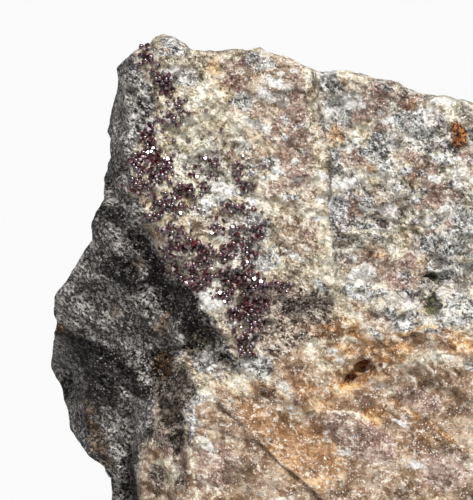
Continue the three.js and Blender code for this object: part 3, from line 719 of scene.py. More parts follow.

# %% Thin dark seams: half width, then the points. The first wanders along the step at the foot, and the one beside the recess edge is painted shade
FOOT_SEAM = [
    [-3.4, 17.1], [-2.6, 16.4], [-1.3, 14.8], [-0.6, 14.4], [0.1, 13.2], [1.3, 12.4], [2.4, 11.0],
    [3.6, 10.2], [4.9, 9.0], [5.8, 8.4], [7.0, 7.1], [10.5, 3.4],
]
CRACKS_AND_STEP_SHADE = [
    [0.13, FOOT_SEAM],
    [0.10, [[-5.0, 14.4], [-3.3, 14.0], [-1.0, 13.1], [1.3, 12.5]]],
    [0.15, [[14.0, 17.4], [15.6, 16.6], [16.8, 15.6], [18.2, 14.9], [19.6, 13.8]]],
    [0.12, [[-8.0, 49.4], [-6.6, 50.3], [-4.7, 50.2]]],
    # Painted shade: a dark band just to the right of the recess edge, where the slab's step stands proud.
    [0.22, [[6.3, 50.8], [6.6, 47.0], [7.4, 44.0], [8.0, 38.0], [8.5, 31.0]]],
    [0.10, [[8.9, 18.3], [10.2, 19.6], [12.4, 21.6], [14.6, 22.6]]],
    [0.08, [[-9.9, 46.2], [-9.6, 44.6], [-10.6, 43.0]]],
    [0.20, [[-6.9, 12.6], [-6.7, 11.0], [-6.2, 9.6], [-6.0, 7.2]]],
    [0.12, [[-9.9, 14.0], [-11.2, 12.4], [-11.6, 9.4], [-11.4, 7.0]]],
]
print("seams:", len(CRACKS_AND_STEP_SHADE))

# %% Patches on the wall rock
WALL_PATCHES = {
    # Paler patches of the wall rock. Its vein along the ridge is a painted highlight.
    "slate": [
        [-11.9, 47.6, 1.3, 3.6, 0], [-12.5, 40.0, 0.6, 3.0, 0], [-17.6, 26.6, 2.0, 1.8, -30],
        [-17.4, 30.4, 0.6, 2.4, -28], [-13.2, 13.4, 1.8, 2.6, 20], [-12.3, 44.4, 1.4, 4.4, 0],
        [-12.4, 16.6, 1.8, 1.6, 0],
        [-19.5, 21.4, 0.3, 2.0, 0], [-11.8, 16.0, 2.0, 3.2, 10], [-12.9, 9.8, 1.4, 3.8, 8],
        [-13.8, 25.4, 1.0, 0.5, -35], [-11.8, 35.4, 1.2, 1.6, -20], [-6.0, 23.0, 1.6, 0.9, -20],
    ],
    "umber": [
        [-19.0, 24.2, 0.6, 0.5, 0], [-17.0, 16.8, 0.9, 2.0, 20], [-15.6, 13.2, 1.1, 2.2, 25],
        [-8.5, 24.8, 0.9, 0.8, -20], [-11.6, 30.6, 0.4, 0.3, 0], [-13.6, 25.8, 0.4, 0.3, 0],
        [-8.4, 20.6, 0.9, 1.2, 0], [-14.4, 10.8, 1.1, 0.8, -40], [-12.4, 27.0, 0.4, 0.3, 0],
    ],
    # Painted shade: the hollow under the wall rock's ridge, its shaded recesses and the foot of the cliff,
    # darkened to near black.
    "painted_wall_shade": [
        [-15.0, 20.2, 3.4, 2.2, -34], [-14.8, 18.4, 2.0, 2.0, -30], [-11.6, 19.8, 1.0, 0.7, -20],
        [-10.2, 31.2, 0.9, 3.4, 30], [-7.2, 26.6, 2.6, 1.6, -36], [-5.2, 24.4, 2.4, 1.3, -44],
        [-18.6, 18.8, 0.8, 1.4, 20], [-11.8, 8.6, 0.4, 3.8, 0], [-13.2, 35.4, 1.2, 1.0, -30],
        [-12.8, 29.6, 2.2, 1.2, -40], [-16.6, 14.6, 0.5, 1.6, 20], [-8.8, 21.0, 1.3, 1.0, -20],
    ],
    "mixed": [
        [-8.4, 18.4, 1.5, 3.2, 10], [-5.4, 22.6, 1.4, 1.2, -30], [-2.6, 20.9, 0.6, 1.0, 20],
        [-9.9, 13.6, 0.4, 1.2, 0], [-8.0, 15.4, 1.4, 0.9, -20], [-6.6, 18.6, 1.2, 2.0, 20],
        [-7.4, 13.2, 0.9, 1.6, 0],
    ],
}
print("patches on the wall rock:", sum(len(patches) for patches in WALL_PATCHES.values()))

# %% Druses: lobes as [x, z, half width, half height]
DRUSES = {
    "peak": [[-10.2, 51.4, 0.6, 0.8]],
    "brow": [[-8.4, 48.9, 1.0, 0.8]],
    "shelf": [[-8.2, 45.0, 0.9, 0.5]],
    "shelf_side": [[-6.9, 46.4, 0.5, 0.6]],
    "left_string": [[-10.1, 43.9, 0.6, 0.8], [-10.0, 42.7, 0.6, 0.8]],
    "left_knot": [[-10.8, 40.8, 1.2, 0.9], [-9.5, 41.1, 0.8, 0.6]],
    "middle_string": [[-8.2, 40.3, 0.6, 0.9], [-8.6, 39.3, 1.0, 0.6]],
    "left_edge": [[-11.3, 38.5, 0.9, 0.7], [-10.2, 38.0, 0.7, 0.5]],
    "middle": [[-6.3, 38.1, 0.8, 0.5]],
    "middle_side": [[-4.7, 38.1, 0.5, 0.5]],
    "upper_middle": [[-3.6, 40.7, 0.6, 0.4]],
    "upper_right": [[-1.3, 40.0, 0.5, 0.7]],
    "right_knot": [[-0.4, 38.3, 0.7, 0.5]],
    "red_line": [[-1.8, 36.2, 0.9, 0.4], [-0.6, 36.2, 0.9, 0.4]],
    "middle_knot": [[-8.0, 36.7, 1.1, 0.8], [-7.2, 36.0, 0.9, 0.6]],
    "lower_string": [[-9.8, 35.2, 0.9, 0.4]],
    "lower_knot": [[-7.8, 33.9, 0.9, 0.5]],
    "right_single": [[-3.3, 34.0, 0.6, 0.5]],
    "right_pair": [[-1.4, 33.8, 0.5, 0.4]],
    "right_string": [[0.8, 33.7, 0.6, 0.6]],
    "main_left": [
        [-8.0, 31.9, 0.6, 0.9], [-7.0, 32.6, 0.9, 0.5], [-5.5, 32.4, 0.9, 0.5], [-4.5, 31.4, 0.5, 0.9],
        [-7.2, 30.2, 0.9, 0.7], [-5.9, 29.3, 1.1, 0.8], [-4.6, 29.7, 0.7, 0.9], [-5.0, 28.3, 0.8, 0.5],
    ],
    "main_right": [
        [-2.3, 31.2, 0.6, 1.2], [-1.2, 32.4, 1.0, 0.6], [-0.2, 31.4, 0.7, 0.7], [-2.2, 29.4, 0.7, 1.0],
        [-0.8, 29.2, 1.1, 0.8], [0.5, 29.0, 0.8, 1.0], [-2.6, 27.5, 0.9, 0.5], [-0.9, 27.2, 1.3, 0.6],
        [0.6, 26.6, 1.0, 0.9], [-0.9, 25.7, 1.2, 0.8], [0.3, 25.0, 0.9, 0.7], [-0.4, 24.0, 1.1, 0.7],
        [-0.3, 22.9, 0.8, 0.5],
    ],
    "foot_knot": [[-0.3, 21.7, 0.7, 0.6]],
}
# The main druses lie on a dark film, partly a dark stain and partly painted shade in the gaps between their
# crystals, and a paler ground runs under them all.
FILMED_AND_SHADED = ["peak", "brow", "main_left", "main_right"]
DRUSE_GROUND = [[-5.5, 36.5, 4.6, 9.5, 20]]
print("druses:", len(DRUSES), "of", sum(len(lobes) for lobes in DRUSES.values()), "lobes")

# %% Fields from patches and veins
RIM_SLOPE, VEIN_SLOPE = 0.5, 2.0  # how much a field changes over 1 mm, by a patch and by a vein


def patch_field(patches, x, z):
    """One half at the rim of the nearest patch, rising inwards and falling outwards."""
    field = np.zeros(x.shape)
    for cx, cz, half_x, half_z, turn in patches:
        c, s = math.cos(math.radians(turn)), math.sin(math.radians(turn))
        across, up = (x - cx) * c + (z - cz) * s, (z - cz) * c - (x - cx) * s
        from_rim = math.sqrt(half_x * half_z) * (1 - np.hypot(across / half_x, up / half_z))
        field = np.maximum(field, 0.5 + RIM_SLOPE * from_rim)
    return np.clip(field, 0, 1)


def line_field(veins, x, z):
    """One half at a given distance beside the nearest line, rising towards it and falling away."""
    inward = [half - beside_line(line, x, z)[0] for half, line in veins]
    return np.clip(0.5 + VEIN_SLOPE * np.maximum.reduce(inward), 0, 1)


at = np.array([12.0]), np.array([9.0])
print("at x 12, z 9 the warm field is", patch_field(PATCHES["warm"], *at)[0])


# %% Distance inside an outline, for the contact and later for the rim of the display face
def inside_distance(outline, x, z):
    """Distance to a closed outline, positive inside it."""
    distance, inside = np.full(x.shape, np.inf), np.zeros(x.shape, bool)
    for (ax, az), (bx, bz) in zip(outline, outline[1:] + outline[:1]):
        dx, dz = bx - ax, bz - az
        t = np.clip(((x - ax) * dx + (z - az) * dz) / (dx * dx + dz * dz), 0, 1)
        distance = np.minimum(distance, np.hypot(x - ax - t * dx, z - az - t * dz))
        if az != bz:
            inside ^= ((az > z) != (bz > z)) & (x < ax + (z - az) * dx / dz)
    return np.where(inside, distance, -distance)


print("the same place is inside the wall rock by, mm:", inside_distance(WALL_ROCK_CONTACT, *at).round(1))

# %% Patches strewn by noise: their size in mm, and how common they are on the face and off it
STREWN = {
    "warm": [3.5, -0.34, -0.10],
    "crust": [1.3, -0.20, -0.06],
    "grey": [1.2, -0.20, -0.02],
    "rose": [1.4, -0.18, -0.04],
    "milk": [1.0, -0.20, -0.16],
    "peach": [2.2, -0.30, -0.12],
    "ochre": [1.5, -0.34, -0.16],
    "dusk": [2.4, -0.50, -0.12],
    "moss": [1.2, -0.46, -0.30],
    "rust": [1.4, -0.44, -0.30],
    "dull": [3.0, -0.50, -0.14],
    "tan": [3.2, -0.50, -0.14],
}
STREWN_SLOPE, STREWN_SEED, STREWN_OCTAVES = 1.8, 40, 3
STREWN_STRETCH = [0.7, 1, 1]  # strewn patches are a little longer from left to right
PLAINER = 0.12  # how much less common they are on the waxy quartz
print("strewn minerals:", len(STREWN))

# %% [markdown]
# ## All the fields of a point
# A field could be painted by hand on the mesh, but a function gives the same answer for any point, so
# the crystals can ask it too. Every patch is looked up a little beside its place, by a soft noise, which
# takes the ellipse out of it. Off the display face the listed patches fade and strewn ones take over.

# %% Hand-set patches, looked up beside their places
WANDER, WANDER_SIZE, WANDER_SEEDS = 1.2, 1.6, (11, 12)
VEIN_WANDER, SEAM_WANDER, CONTACT_WANDER = 0.3, 0.2, 0.6  # in shares of a patch's
CONTACT_LEAN, CONTACT_LEAN_FROM = 0.12, 4  # the contact drifts to the right with depth


def set_by_hand(name, patches, x, z, wander):
    """A mineral's patches and veins on the display face."""
    field = patch_field(patches, x + wander[0], z + wander[1])
    if name in VEINS:
        veins = line_field(VEINS[name], x + VEIN_WANDER * wander[0], z + VEIN_WANDER * wander[1])
        field = np.maximum(field, veins)
    return field


straying = WANDER / 2
print("patches stray by up to", straying, "mm, veins by", round(VEIN_WANDER * straying, 2))

# %% All the fields of a point
BEHIND, FACE_BAND = 14, 5  # depth from which a point is off the display face, and the fade before it


def mineral_fields(points):
    x, y, z = points.T
    off_face = smooth((y - BEHIND + FACE_BAND) / FACE_BAND)
    wander = [WANDER * (cloud(points, WANDER_SIZE, seed) - 0.5) for seed in WANDER_SEEDS]
    fields = {}
    for number, (name, (size, on_face, elsewhere)) in enumerate(STREWN.items()):
        hand_set = set_by_hand(name, PATCHES[name], x, z, wander) * (1 - off_face)
        common = on_face + (elsewhere - on_face) * off_face
        if name != "warm":
            common = common - PLAINER * fields["warm"] * (1 - off_face)
        noise = cloud(points * STREWN_STRETCH, size, STREWN_SEED + number, STREWN_OCTAVES)
        strewn = 0.5 + STREWN_SLOPE * (noise - 0.5 + common)
        fields[name] = np.clip(np.maximum(hand_set, strewn), 0, 1)
    drift = CONTACT_LEAN * np.maximum(y - CONTACT_LEAN_FROM, 0)
    contact = inside_distance(WALL_ROCK_CONTACT, x - drift + CONTACT_WANDER * wander[0], z)
    fields["wall"] = np.clip(0.5 + RIM_SLOPE * contact, 0, 1)
    for name, patches in WALL_PATCHES.items():
        fields[name] = set_by_hand(name, patches, x, z, wander) * (1 - off_face)
    beside = [beside_line(line, x + SEAM_WANDER * wander[1], z)[0] / width for width, line in CRACKS_AND_STEP_SHADE]
    fields["crack_and_step_shade"] = np.maximum.reduce([np.exp(-(away**2)) for away in beside]) * (1 - off_face)
    lobes = [[*lobe, 0] for name in FILMED_AND_SHADED for lobe in DRUSES[name]]
    fields["film"] = patch_field(lobes, x, z) * (1 - off_face)
    fields["druse_ground"] = patch_field(DRUSE_GROUND, x, z) * (1 - off_face)
    return fields


scoop_middle = np.array([[3.2, 0.9, 24.9]])
scoop = mineral_fields(scoop_middle)
print("in the scoop:", *(name for name, field in scoop.items() if field[0] > 0.5))


# %% [markdown]
# ## The grain of the breaks
# Quartz breaks into curved, tilted little flats, and wall rock splits along its layers. Each scale of
# flats is a cell pattern: every cell is one flat with its own lean. Three scales, from 2.4 mm down to
# 0.45 mm, are cut into the skin itself, and what is finer is left to the shader's bump.

# %% Cells with a lean of their own
CUP = 0.5
CUP_LEVEL = 0.02


def flats(points, size, seed):
    """Height, in cell sizes, of shallow leaning cups about a size across, creased between them."""
    places = points / size
    home = np.floor(places).astype(np.int64)
    height = np.full(len(points), np.inf)
    for step in itertools.product((-1, 0, 1), repeat=3):
        cells = home + step
        away = places - cells - np.stack([scatter(cells, seed + k) for k in range(3)], -1)
        lean = np.stack([scatter(cells, seed + 3 + k) - 0.5 for k in range(3)], -1)
        height = np.minimum(height, CUP * (away**2).sum(-1) + (away * lean).sum(-1))
    return height - CUP_LEVEL


print("flats along a line:", np.round(flats(np.arange(4)[:, None] * [1.0, 0, 0], 2.4, 101), 2))

# %% Flats at three scales, and bumps of the crust, as [height, size, seed], in mm
COARSE_FLATS = [2.4, 2.4, 101]
QUARTZ_FLATS = [1.0, 1.0, 201]
WALL_ROCK_FLATS = [0.7, 1.4, 301]
FINE_FLATS = [-0.45, 0.45, 401]
CRUST_BUMPS = [0.25, 0.7, 501]
LAYERED = [[0.79, 0.0, -0.61], [0.0, 1.0, 0.0], [1.2, 0.0, 1.55]]  # wall rock's flats lie along its layers
WAXY_TOP, WAXY_FADE, WAXY_CALM = 19, 4, 0.4  # the waxy quartz below this height is smoother
RIM_WIDTH, RIM_KEPT = 1.6, 0.3  # near the outline less is cut, so that it stays the solid's
every_scale = (COARSE_FLATS, WALL_ROCK_FLATS, QUARTZ_FLATS, FINE_FLATS)
print("flats, mm across:", *(size for _, size, _ in every_scale))


# %% The relief of the skin
def cut(points, height, size, seed):
    return height * flats(points, size, seed)


def relief(points, fields, to_rim):
    """How far the fine skin stands off the plain breaks, in mm, less near the rim of the display face."""
    x, y, z = points.T
    wall = smooth(fields["wall"] * 3 - 1)
    face = 1 - smooth((y - BEHIND) / FACE_BAND)
    waxy = smooth((WAXY_TOP - z) / WAXY_FADE) * face * (1 - wall)
    rough = 1 - WAXY_CALM * waxy
    coarse = cut(points, *COARSE_FLATS)
    on_layers = cut(points @ np.array(LAYERED).T, *WALL_ROCK_FLATS)
    middling = cut(points, *QUARTZ_FLATS) * (1 - wall) + on_layers * wall
    fine = cut(points, *FINE_FLATS)
    height, size, seed = CRUST_BUMPS
    crust = height * (cloud(points, size, seed) - 0.5) * fields["druse_ground"]
    kept = RIM_KEPT + (1 - RIM_KEPT) * smooth(to_rim / RIM_WIDTH)
    # How strong each scale is on the display face, and on the sides, back and top.
    coarse, middling = 1.2 * (0.65 - 0.15 * face) * coarse, (0.6 + 0.4 * face) * middling
    return kept * (rough * (coarse + middling + 0.9 * face * fine) + crust)


print("relief in the scoop, mm:", np.round(relief(scoop_middle, scoop, RIM_WIDTH), 2))

# %% Fields of the skin, and how far each of its points is from the rim of the display face
HALF_ROUND = 90  # about how far the way round the back is, from rim to rim
# The outline as one closed line. It runs on below the break that the stone rests on, which is no rim.
OUTLINE = LEFT_EDGE[::-1][:-1] + [[-12.8, -5], [25.2, -5]] + RIGHT_EDGE + TOP_EDGE[::-1][1:-1]


def to_outline(x, z):
    return inside_distance(OUTLINE, x, z)


skin_fields = mineral_fields(skin_points)
rim_distance = [np.clip(to_outline(front[:, 0], front[:, 2]), 0, None)]
rim_distance.append(HALF_ROUND * np.minimum(back_turn, 1 - back_turn).ravel())
rim_distance.append(np.repeat(TOP_SHARES * SPINE_DEPTH, len(rim)))
rim_distance = np.concatenate(rim_distance)
print("wall rock covers", round(100 * np.mean(skin_fields["wall"] > 0.5)), "% of the skin's points")


# %% [markdown]
# ## Making the skin
# The flats are pushed out along the surface, so that steep walls get them too. The resting break stays
# flat. Each field goes on the mesh as an attribute, which the shader reads by name.

# %% A mesh object from points and faces
def mesh_piece(name, points, faces, material, is_smooth):
    mesh = bpy.data.meshes.new(name)
    mesh.from_pydata(to_row(points), [], [tuple(int(i) for i in f) for f in faces])
    mesh.polygons.foreach_set("use_smooth", np.broadcast_to(is_smooth, len(mesh.polygons)).tolist())
    mesh.materials.append(material)
    obj = bpy.data.objects.new(name, mesh)
    bpy.context.scene.collection.objects.link(obj)
    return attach(obj, "root")


def normals_of(mesh):
    normals = np.zeros(3 * len(mesh.vertices), np.float32)
    mesh.vertex_normals.foreach_get("vector", normals)
    return normals.reshape(-1, 3)


skin_material = bpy.data.materials.new("iron_stained_vein_quartz_and_wall_rock")
stone = mesh_piece("stone_skin", skin_points, skin_faces, skin_material, True)
print("skin before the relief:", len(stone.data.vertices), "points")

# %% Push the skin out and hang the fields on it
push = relief(skin_points, skin_fields, rim_distance)
pushed = skin_points + normals_of(stone.data) * push[:, None]
pushed[skin_points[:, 2] < 1e-6, 2] = 0
stone.data.vertices.foreach_set("co", to_row(pushed).astype(np.float32).ravel())
stone.data.update()
for name, field in skin_fields.items():
    stone.data.attributes.new(name, "FLOAT", "POINT").data.foreach_set("value", field.astype(np.float32))
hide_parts("matrix")
print("fields on the skin:", ", ".join(skin_fields))
print("pushed by, mm:", np.round(np.percentile(push, [0, 5, 50, 95, 100]), 2))

# %% [markdown]
# ## A flat pattern for the skin
# If the finish is baked for use elsewhere, the skin needs a flat pattern. It already is four sheets:
# the face laid out as it is seen, the strip of sides and back unrolled, and the top and base from above.
# The face gets the most room, because it is what people look at.

# %% Lay the four charts out in one square
CHART_ROOM = {  # left, bottom and width in the square
    "front": (0.005, 0.005, 0.625),
    "back": (0.005, 0.70, 0.985),
    "top": (0.65, 0.005, 0.34),
    "base": (0.65, 0.36, 0.3),
}
UNROLLED_HEIGHT = 0.29  # of the strip of sides and back, which is one wide
unrolled = np.zeros((len(skin_points), 2))
unrolled[front_ids[:, 0]] = np.stack([np.ones(FINE * ROWS + 1), rise[:, 0]], -1)
unrolled[front_ids[:, -1], 1] = rise[:, 0]
unrolled[back_ids.ravel()] = np.stack([back_turn.ravel(), back_rise.ravel()], -1)
unrolled[:, 1] *= UNROLLED_HEIGHT
plan = skin_points[:, :2]
flat = {"front": skin_points[:, [0, 2]], "back": unrolled, "top": plan, "base": plan}
laid_out = []
for name, faces in charts.items():
    left, bottom, width = CHART_ROOM[name]
    corners = flat[name][np.concatenate([np.array(f) for f in faces])]
    low, span = corners.min(0), np.ptp(corners[:, 0])
    laid_out.append((corners - low) / span * width + [left, bottom])
laid_out = np.concatenate(laid_out)
uv = stone.data.uv_layers.new(name="OFBake")
uv.data.foreach_set("uv", laid_out.astype(np.float32).ravel())
print("flat pattern reaches", np.round(laid_out.max(0), 3))

# %% [markdown]
# ## Vein quartz, its stains and the wall rock
# One material holds the whole skin, because the minerals grade into each other grain by grain. Vein
# quartz is a sugary mass of clear grains: each grain shows a little lighter or darker than its
# neighbour, and its broken faces flash. So the tone is one random value for each grain, and the bump
# leans each grain its own way. A mineral is then a dark, a middle and a light colour on that same tone,
# and is laid over the quartz wherever its field, roughened by noise, passes one half.

# %% Coordinates, in metres, straight, wavy, and stretched along the grain
STREAK_TURN, STREAK = 24, 1.5  # the quartz grains' long axes fall 24 degrees to the right, and are 3 to 2
LAYERS_TURN, LAYERS = 38, 2.0


def per_metre(size):
    """A texture scale that gives features of a size in mm, as object coordinates are in metres."""
    return 1000 / size


RAGGED_SIZE, SWIRL_SIZE = 1.1, 1.2
WARP = 0.0003  # how far the swirl bends the coordinates, in metres
skin_material.use_nodes = True
tree = skin_material.node_tree
shader = tree.nodes["Principled BSDF"]
where = add(tree, "TexCoord").outputs["Object"]
inputs = {"Vector": where, "Scale": per_metre(RAGGED_SIZE), "Detail": 6, "Roughness": 0.75}
ragged = add(tree, "TexNoise", inputs)
swirl = add(tree, "TexNoise", {"Vector": where, "Scale": per_metre(SWIRL_SIZE), "Detail": 1})
warp = add(tree, "VectorMath", {0: swirl.outputs["Color"], "Scale": WARP}, operation="SCALE")
bent = add(tree, "VectorMath", {0: where, 1: warp}, operation="ADD")
lie = {"straight": where, "bent": bent}
GRAINS = {"streaked": (bent, STREAK_TURN, STREAK), "layered": (where, LAYERS_TURN, LAYERS)}
for name, (start, turn, stretch) in GRAINS.items():
    turned = add(tree, "Mapping", {"Vector": start, "Rotation": (0, math.radians(-turn), 0)})
    lie[name] = add(tree, "Mapping", {"Vector": turned, "Scale": (1 / stretch, 1, 1)})
print("coordinates:", *lie)

# %% Noises that the minerals share: coordinates, size in mm, detail, roughness and range
NOISES = {
    "broad": ("straight", 2.4, 2, 0.60, 0.32, 0.68),
    "streak": ("streaked", 0.7, 3, 0.70, 0.36, 0.64),
    "speckle": ("streaked", 0.24, 2, 0.80, 0.36, 0.64),
    "cluster": ("streaked", 1.3, 3, 0.60, 0.30, 0.70),
    "places": ("straight", 2.2, 5, 0.70, 0.34, 0.66),
}
pattern, value = {}, {}
for name, (grain, size, detail, roughness, low, high) in NOISES.items():
    inputs = {"Vector": lie[grain], "Scale": per_metre(size), "Detail": detail, "Roughness": roughness}
    pattern[name] = add(tree, "TexNoise", inputs, label=name)
    value[name] = add(tree, "MapRange", {"Value": pattern[name], "From Min": low, "From Max": high})
print("noises:", *NOISES)

# %% Grains as cells: coordinates and size in mm
# Sugary quartz has grains down to about 0.05 mm. They are drawn no finer than 0.17 mm, so that they show.
CELLS = {
    "chip": ("streaked", 0.55),
    "grain": ("streaked", 0.30),
    "sugar": ("bent", 0.17),
    "fleck": ("bent", 0.26),
    "scale": ("layered", 0.22),
    "facet": ("bent", 1.3),
}
for name, (grain, size) in CELLS.items():
    pattern[name] = add(tree, "TexVoronoi", {"Vector": lie[grain], "Scale": per_metre(size)}, label=name)
    split = add(tree, "SeparateColor", {"Color": pattern[name].outputs["Color"]}).outputs
    value.update({name: split[0], name + "_2": split[1], name + "_3": split[2]})
print("cells:", *CELLS)

# %% Tones: shares of those patterns, and the range from a mineral's dark colour to its light one
TONES = {
    "soft": ({"broad": 0.32, "streak": 0.14, "chip": 0.14, "grain": 0.16, "sugar": 0.24}, 0.22, 0.78),
    "sharp": ({"broad": 0.10, "speckle": 0.20, "chip": 0.18, "grain": 0.24, "sugar": 0.28}, 0.28, 0.72),
    "waxy": ({"broad": 0.44, "streak": 0.14, "chip": 0.14, "grain": 0.12, "sugar": 0.16}, 0.20, 0.80),
    "layers": ({"places": 0.12, "chip": 0.08, "grain": 0.20, "scale": 0.28, "sugar": 0.32}, 0.28, 0.76),
}
for name, (parts, low, high) in TONES.items():
    total = 0.0
    for part, share in parts.items():
        total = add(tree, "Math", {0: value[part], 1: share, 2: total}, operation="MULTIPLY_ADD")
    inputs = {"Value": total, "From Min": low, "From Max": high}
    value[name] = add(tree, "MapRange", inputs, interpolation_type="SMOOTHSTEP", label=name)
print("tones:", *TONES)

# %% [markdown]
# ## The minerals, in the order in which they cover each other
# Each could be a material of its own, but a stone's minerals have no clean borders. So each is a row
# here: its field, how far noise frays its rim, how soft the rim is, how much it covers, its tone, and
# its dark, middle and light colours. Stains of iron come after the quartz that they stain, and the
# dark wall rock lies over both.
# A few rows are painted shade and light rather than minerals: shade in the wall rock's hollows, a highlight
# on its ridge, and shade between the main druses' crystals.

# %% Pale minerals
LIGHT_MINERALS = {
    "tan_vein_quartz": ("tan", 0.8, 0.30, 0.88, "soft", "#6c5644", "#b59d86", "#eee0cc"),
    "grey_vein_quartz": ("dull", 0.7, 0.30, 0.88, "soft", "#4a4138", "#a39a8a", "#f0eade"),
    "waxy_stained_quartz": ("warm", 0.9, 0.30, 0.92, "waxy", "#6e4e34", "#967657", "#cab299"),
    "rose_brown_quartz": ("rose", 0.35, 0.10, 0.92, "soft", "#6c5042", "#a48778", "#ccb6a6"),
    "smoky_quartz": ("grey", 0.4, 0.12, 0.90, "sharp", "#3c3b3a", "#979793", "#eeeeeb"),
    "druse_ground": ("druse_ground", 1.0, 0.20, 0.75, "sharp", "#5c4e40", "#c8bda8", "#fffaf0"),
    "cream_crust": ("crust", 0.8, 0.12, 0.90, "soft", "#8c7656", "#ddcdae", "#fffbec"),
    "milky_quartz": ("milk", 0.60, 0.08, 0.95, "soft", "#bcb4a8", "#eeeae2", "#ffffff"),
    # In the scoop under the ledge, partly painted shade.
    "dusky_quartz_and_scoop_shade": ("dusk", 0.7, 0.12, 0.90, "sharp", "#1a0b07", "#745a4b", "#dac8b6"),
    "peach_quartz": ("peach", 1.1, 0.40, 0.80, "waxy", "#8a6038", "#b8895a", "#e8c69a"),
    "iron_ochre": ("ochre", 1.0, 0.30, 0.80, "waxy", "#6a4420", "#b88044", "#f0cc92"),
}
print("pale minerals:", len(LIGHT_MINERALS))

# %% Dark minerals, and the painted shade and light among them
DARK_MINERALS = {
    # Partly a dark stain on the crust, partly painted shade in the gaps between crystals.
    "dark_film": ("film", 1.2, 0.16, 0.6, "sharp", "#100507", "#4a2824", "#a88878"),
    "dark_wall_rock": ("wall", 1.0, 0.08, 1.0, "layers", "#151211", "#46413f", "#cec7c1"),
    # Paler wall rock, and a painted highlight along the lip of its ridge.
    "slate": ("slate", 1.0, 0.20, 0.9, "layers", "#2a2624", "#8a8581", "#f4efe8"),
    # Painted shade rather than a mineral: near black where the wall rock lies in shade.
    "painted_wall_shade": ("painted_wall_shade", 1.0, 0.16, 0.92, "layers", "#060304", "#141011", "#554c4a"),
    "mixed_grains": ("mixed", 1.2, 0.20, 0.95, "sharp", "#060302", "#27201a", "#8f8677"),
    "umber_stain": ("umber", 1.2, 0.20, 0.70, "sharp", "#140c06", "#44331f", "#947448"),
    "green_black_patches": ("moss", 0.9, 0.14, 0.9, "sharp", "#0b0c07", "#2e3016", "#66662e"),
    "deep_rust": ("rust", 0.9, 0.14, 1.0, "sharp", "#1e0c05", "#8e4a18", "#dc9440"),
}
print("dark minerals:", len(DARK_MINERALS))

# %% Laying minerals over each other
rims = add(tree, "SeparateColor", {"Color": ragged.outputs["Color"]}).outputs
shares = {}
STOPS = (0.0, 0.5, 1.0)  # the dark, the middle and the light colour along a tone


def lay(minerals, colour):
    """Lays minerals over a colour, one after the other."""
    for number, (name, (field, fray, rim, cover, tone, *shades)) in enumerate(minerals.items()):
        amount = add(tree, "Attribute", attribute_name=field, label=name).outputs["Fac"]
        frayed = add(tree, "Math", {0: rims[number % 3], 1: fray, 2: amount}, operation="MULTIPLY_ADD")
        middle = 0.5 + 0.5 * fray
        inputs = {"Value": frayed, "From Min": middle - rim, "From Max": middle + rim, "To Max": cover}
        shares[field] = add(tree, "MapRange", inputs, interpolation_type="SMOOTHSTEP")
        paint = add(tree, "ValToRGB", {"Fac": value[tone]}, stops=zip(STOPS, shades), label=name)
        inputs = {"Factor": shares[field], "A": colour, "B": paint}
        colour = add(tree, "Mix", inputs, data_type="RGBA")
    return colour


stops = zip(STOPS, ("#66543f", "#c8b79c", "#fbf0dc"))
bare_quartz = add(tree, "ValToRGB", {"Fac": value["soft"]}, stops=stops, label="vein_quartz")
colour = lay(LIGHT_MINERALS, bare_quartz)
print("laid:", *shares)

# %% Specks: value, how much they gather, how rare, size, field, strength in it and outside, colour
# White specks on the waxy quartz: partly frosted white grains, partly painted glints.
WHITE_GRAINS_AND_GLINTS = ("", 0.7, 0.95, 0.14, "warm", 0.80, 0.85, "#fffcf4")
DARK_GRAINS = ("_2", 0.3, 0.92, 0.28, "grey", 0.7, 0.2, "#221d1a")
# Light specks on the wall rock: partly pale grains, partly painted glints.
PALE_GRAINS_AND_GLINTS = ("_3", 0.4, 0.80, 0.12, "wall", 0.75, 0.0, "#d6d0c8")
RUSTY_GRAINS = ("_2", 0.0, 0.75, 0.25, "umber", 0.6, 0.0, "#b8763c")
RARITY_FADE, SPECK_RIM = 0.1, 0.3


def fleck(colour, number, gather, rarest, size, field, there, elsewhere, paint):
    """Paints round specks in the middle of the cells with the highest values."""
    chance = value["fleck" + number]
    gathered = add(tree, "Math", {0: value["cluster"], 1: gather, 2: chance}, operation="MULTIPLY_ADD")
    strength = add(tree, "MapRange", {"Value": shares[field], "To Min": elsewhere, "To Max": there})
    inputs = {"Value": gathered, "From Min": rarest, "From Max": rarest + RARITY_FADE, "To Max": strength}
    chosen = add(tree, "MapRange", inputs)
    inputs = {"Value": pattern["fleck"], "From Min": size, "From Max": size + SPECK_RIM, "To Min": chosen}
    share = add(tree, "MapRange", inputs | {"To Max": 0.0}, interpolation_type="SMOOTHSTEP")
    return add(tree, "Mix", {"Factor": share, "A": colour, "B": linear(paint)}, data_type="RGBA")


colour = fleck(colour, *WHITE_GRAINS_AND_GLINTS)
print("nodes with the white_grains_and_glints:", len(tree.nodes))

# %% Healed cracks, and the dark minerals over them
HEALED_SIZE = 1.6
HEALED_CORE, HEALED_RIM = 0.012, 0.045  # the lines' half widths, in the noise's own units


def healed_cracks(colour):
    """White lines where healed cracks surface: the places where a noise passes one half."""
    inputs = {"Vector": lie["streaked"], "Scale": per_metre(HEALED_SIZE), "Detail": 3, "Roughness": 0.6}
    off = add(tree, "Math", {0: add(tree, "TexNoise", inputs), 1: 0.5}, operation="SUBTRACT")
    off = add(tree, "Math", {0: off}, operation="ABSOLUTE")
    inputs = {"Value": value["streak"], "From Min": 0.45, "From Max": 0.75, "To Max": 0.65}
    some = add(tree, "MapRange", inputs)
    inputs = {"Value": off, "From Min": HEALED_CORE, "From Max": HEALED_RIM, "To Min": some, "To Max": 0.0}
    line = add(tree, "MapRange", inputs)
    return add(tree, "Mix", {"Factor": line, "A": colour, "B": linear("#fff6e6")}, data_type="RGBA")


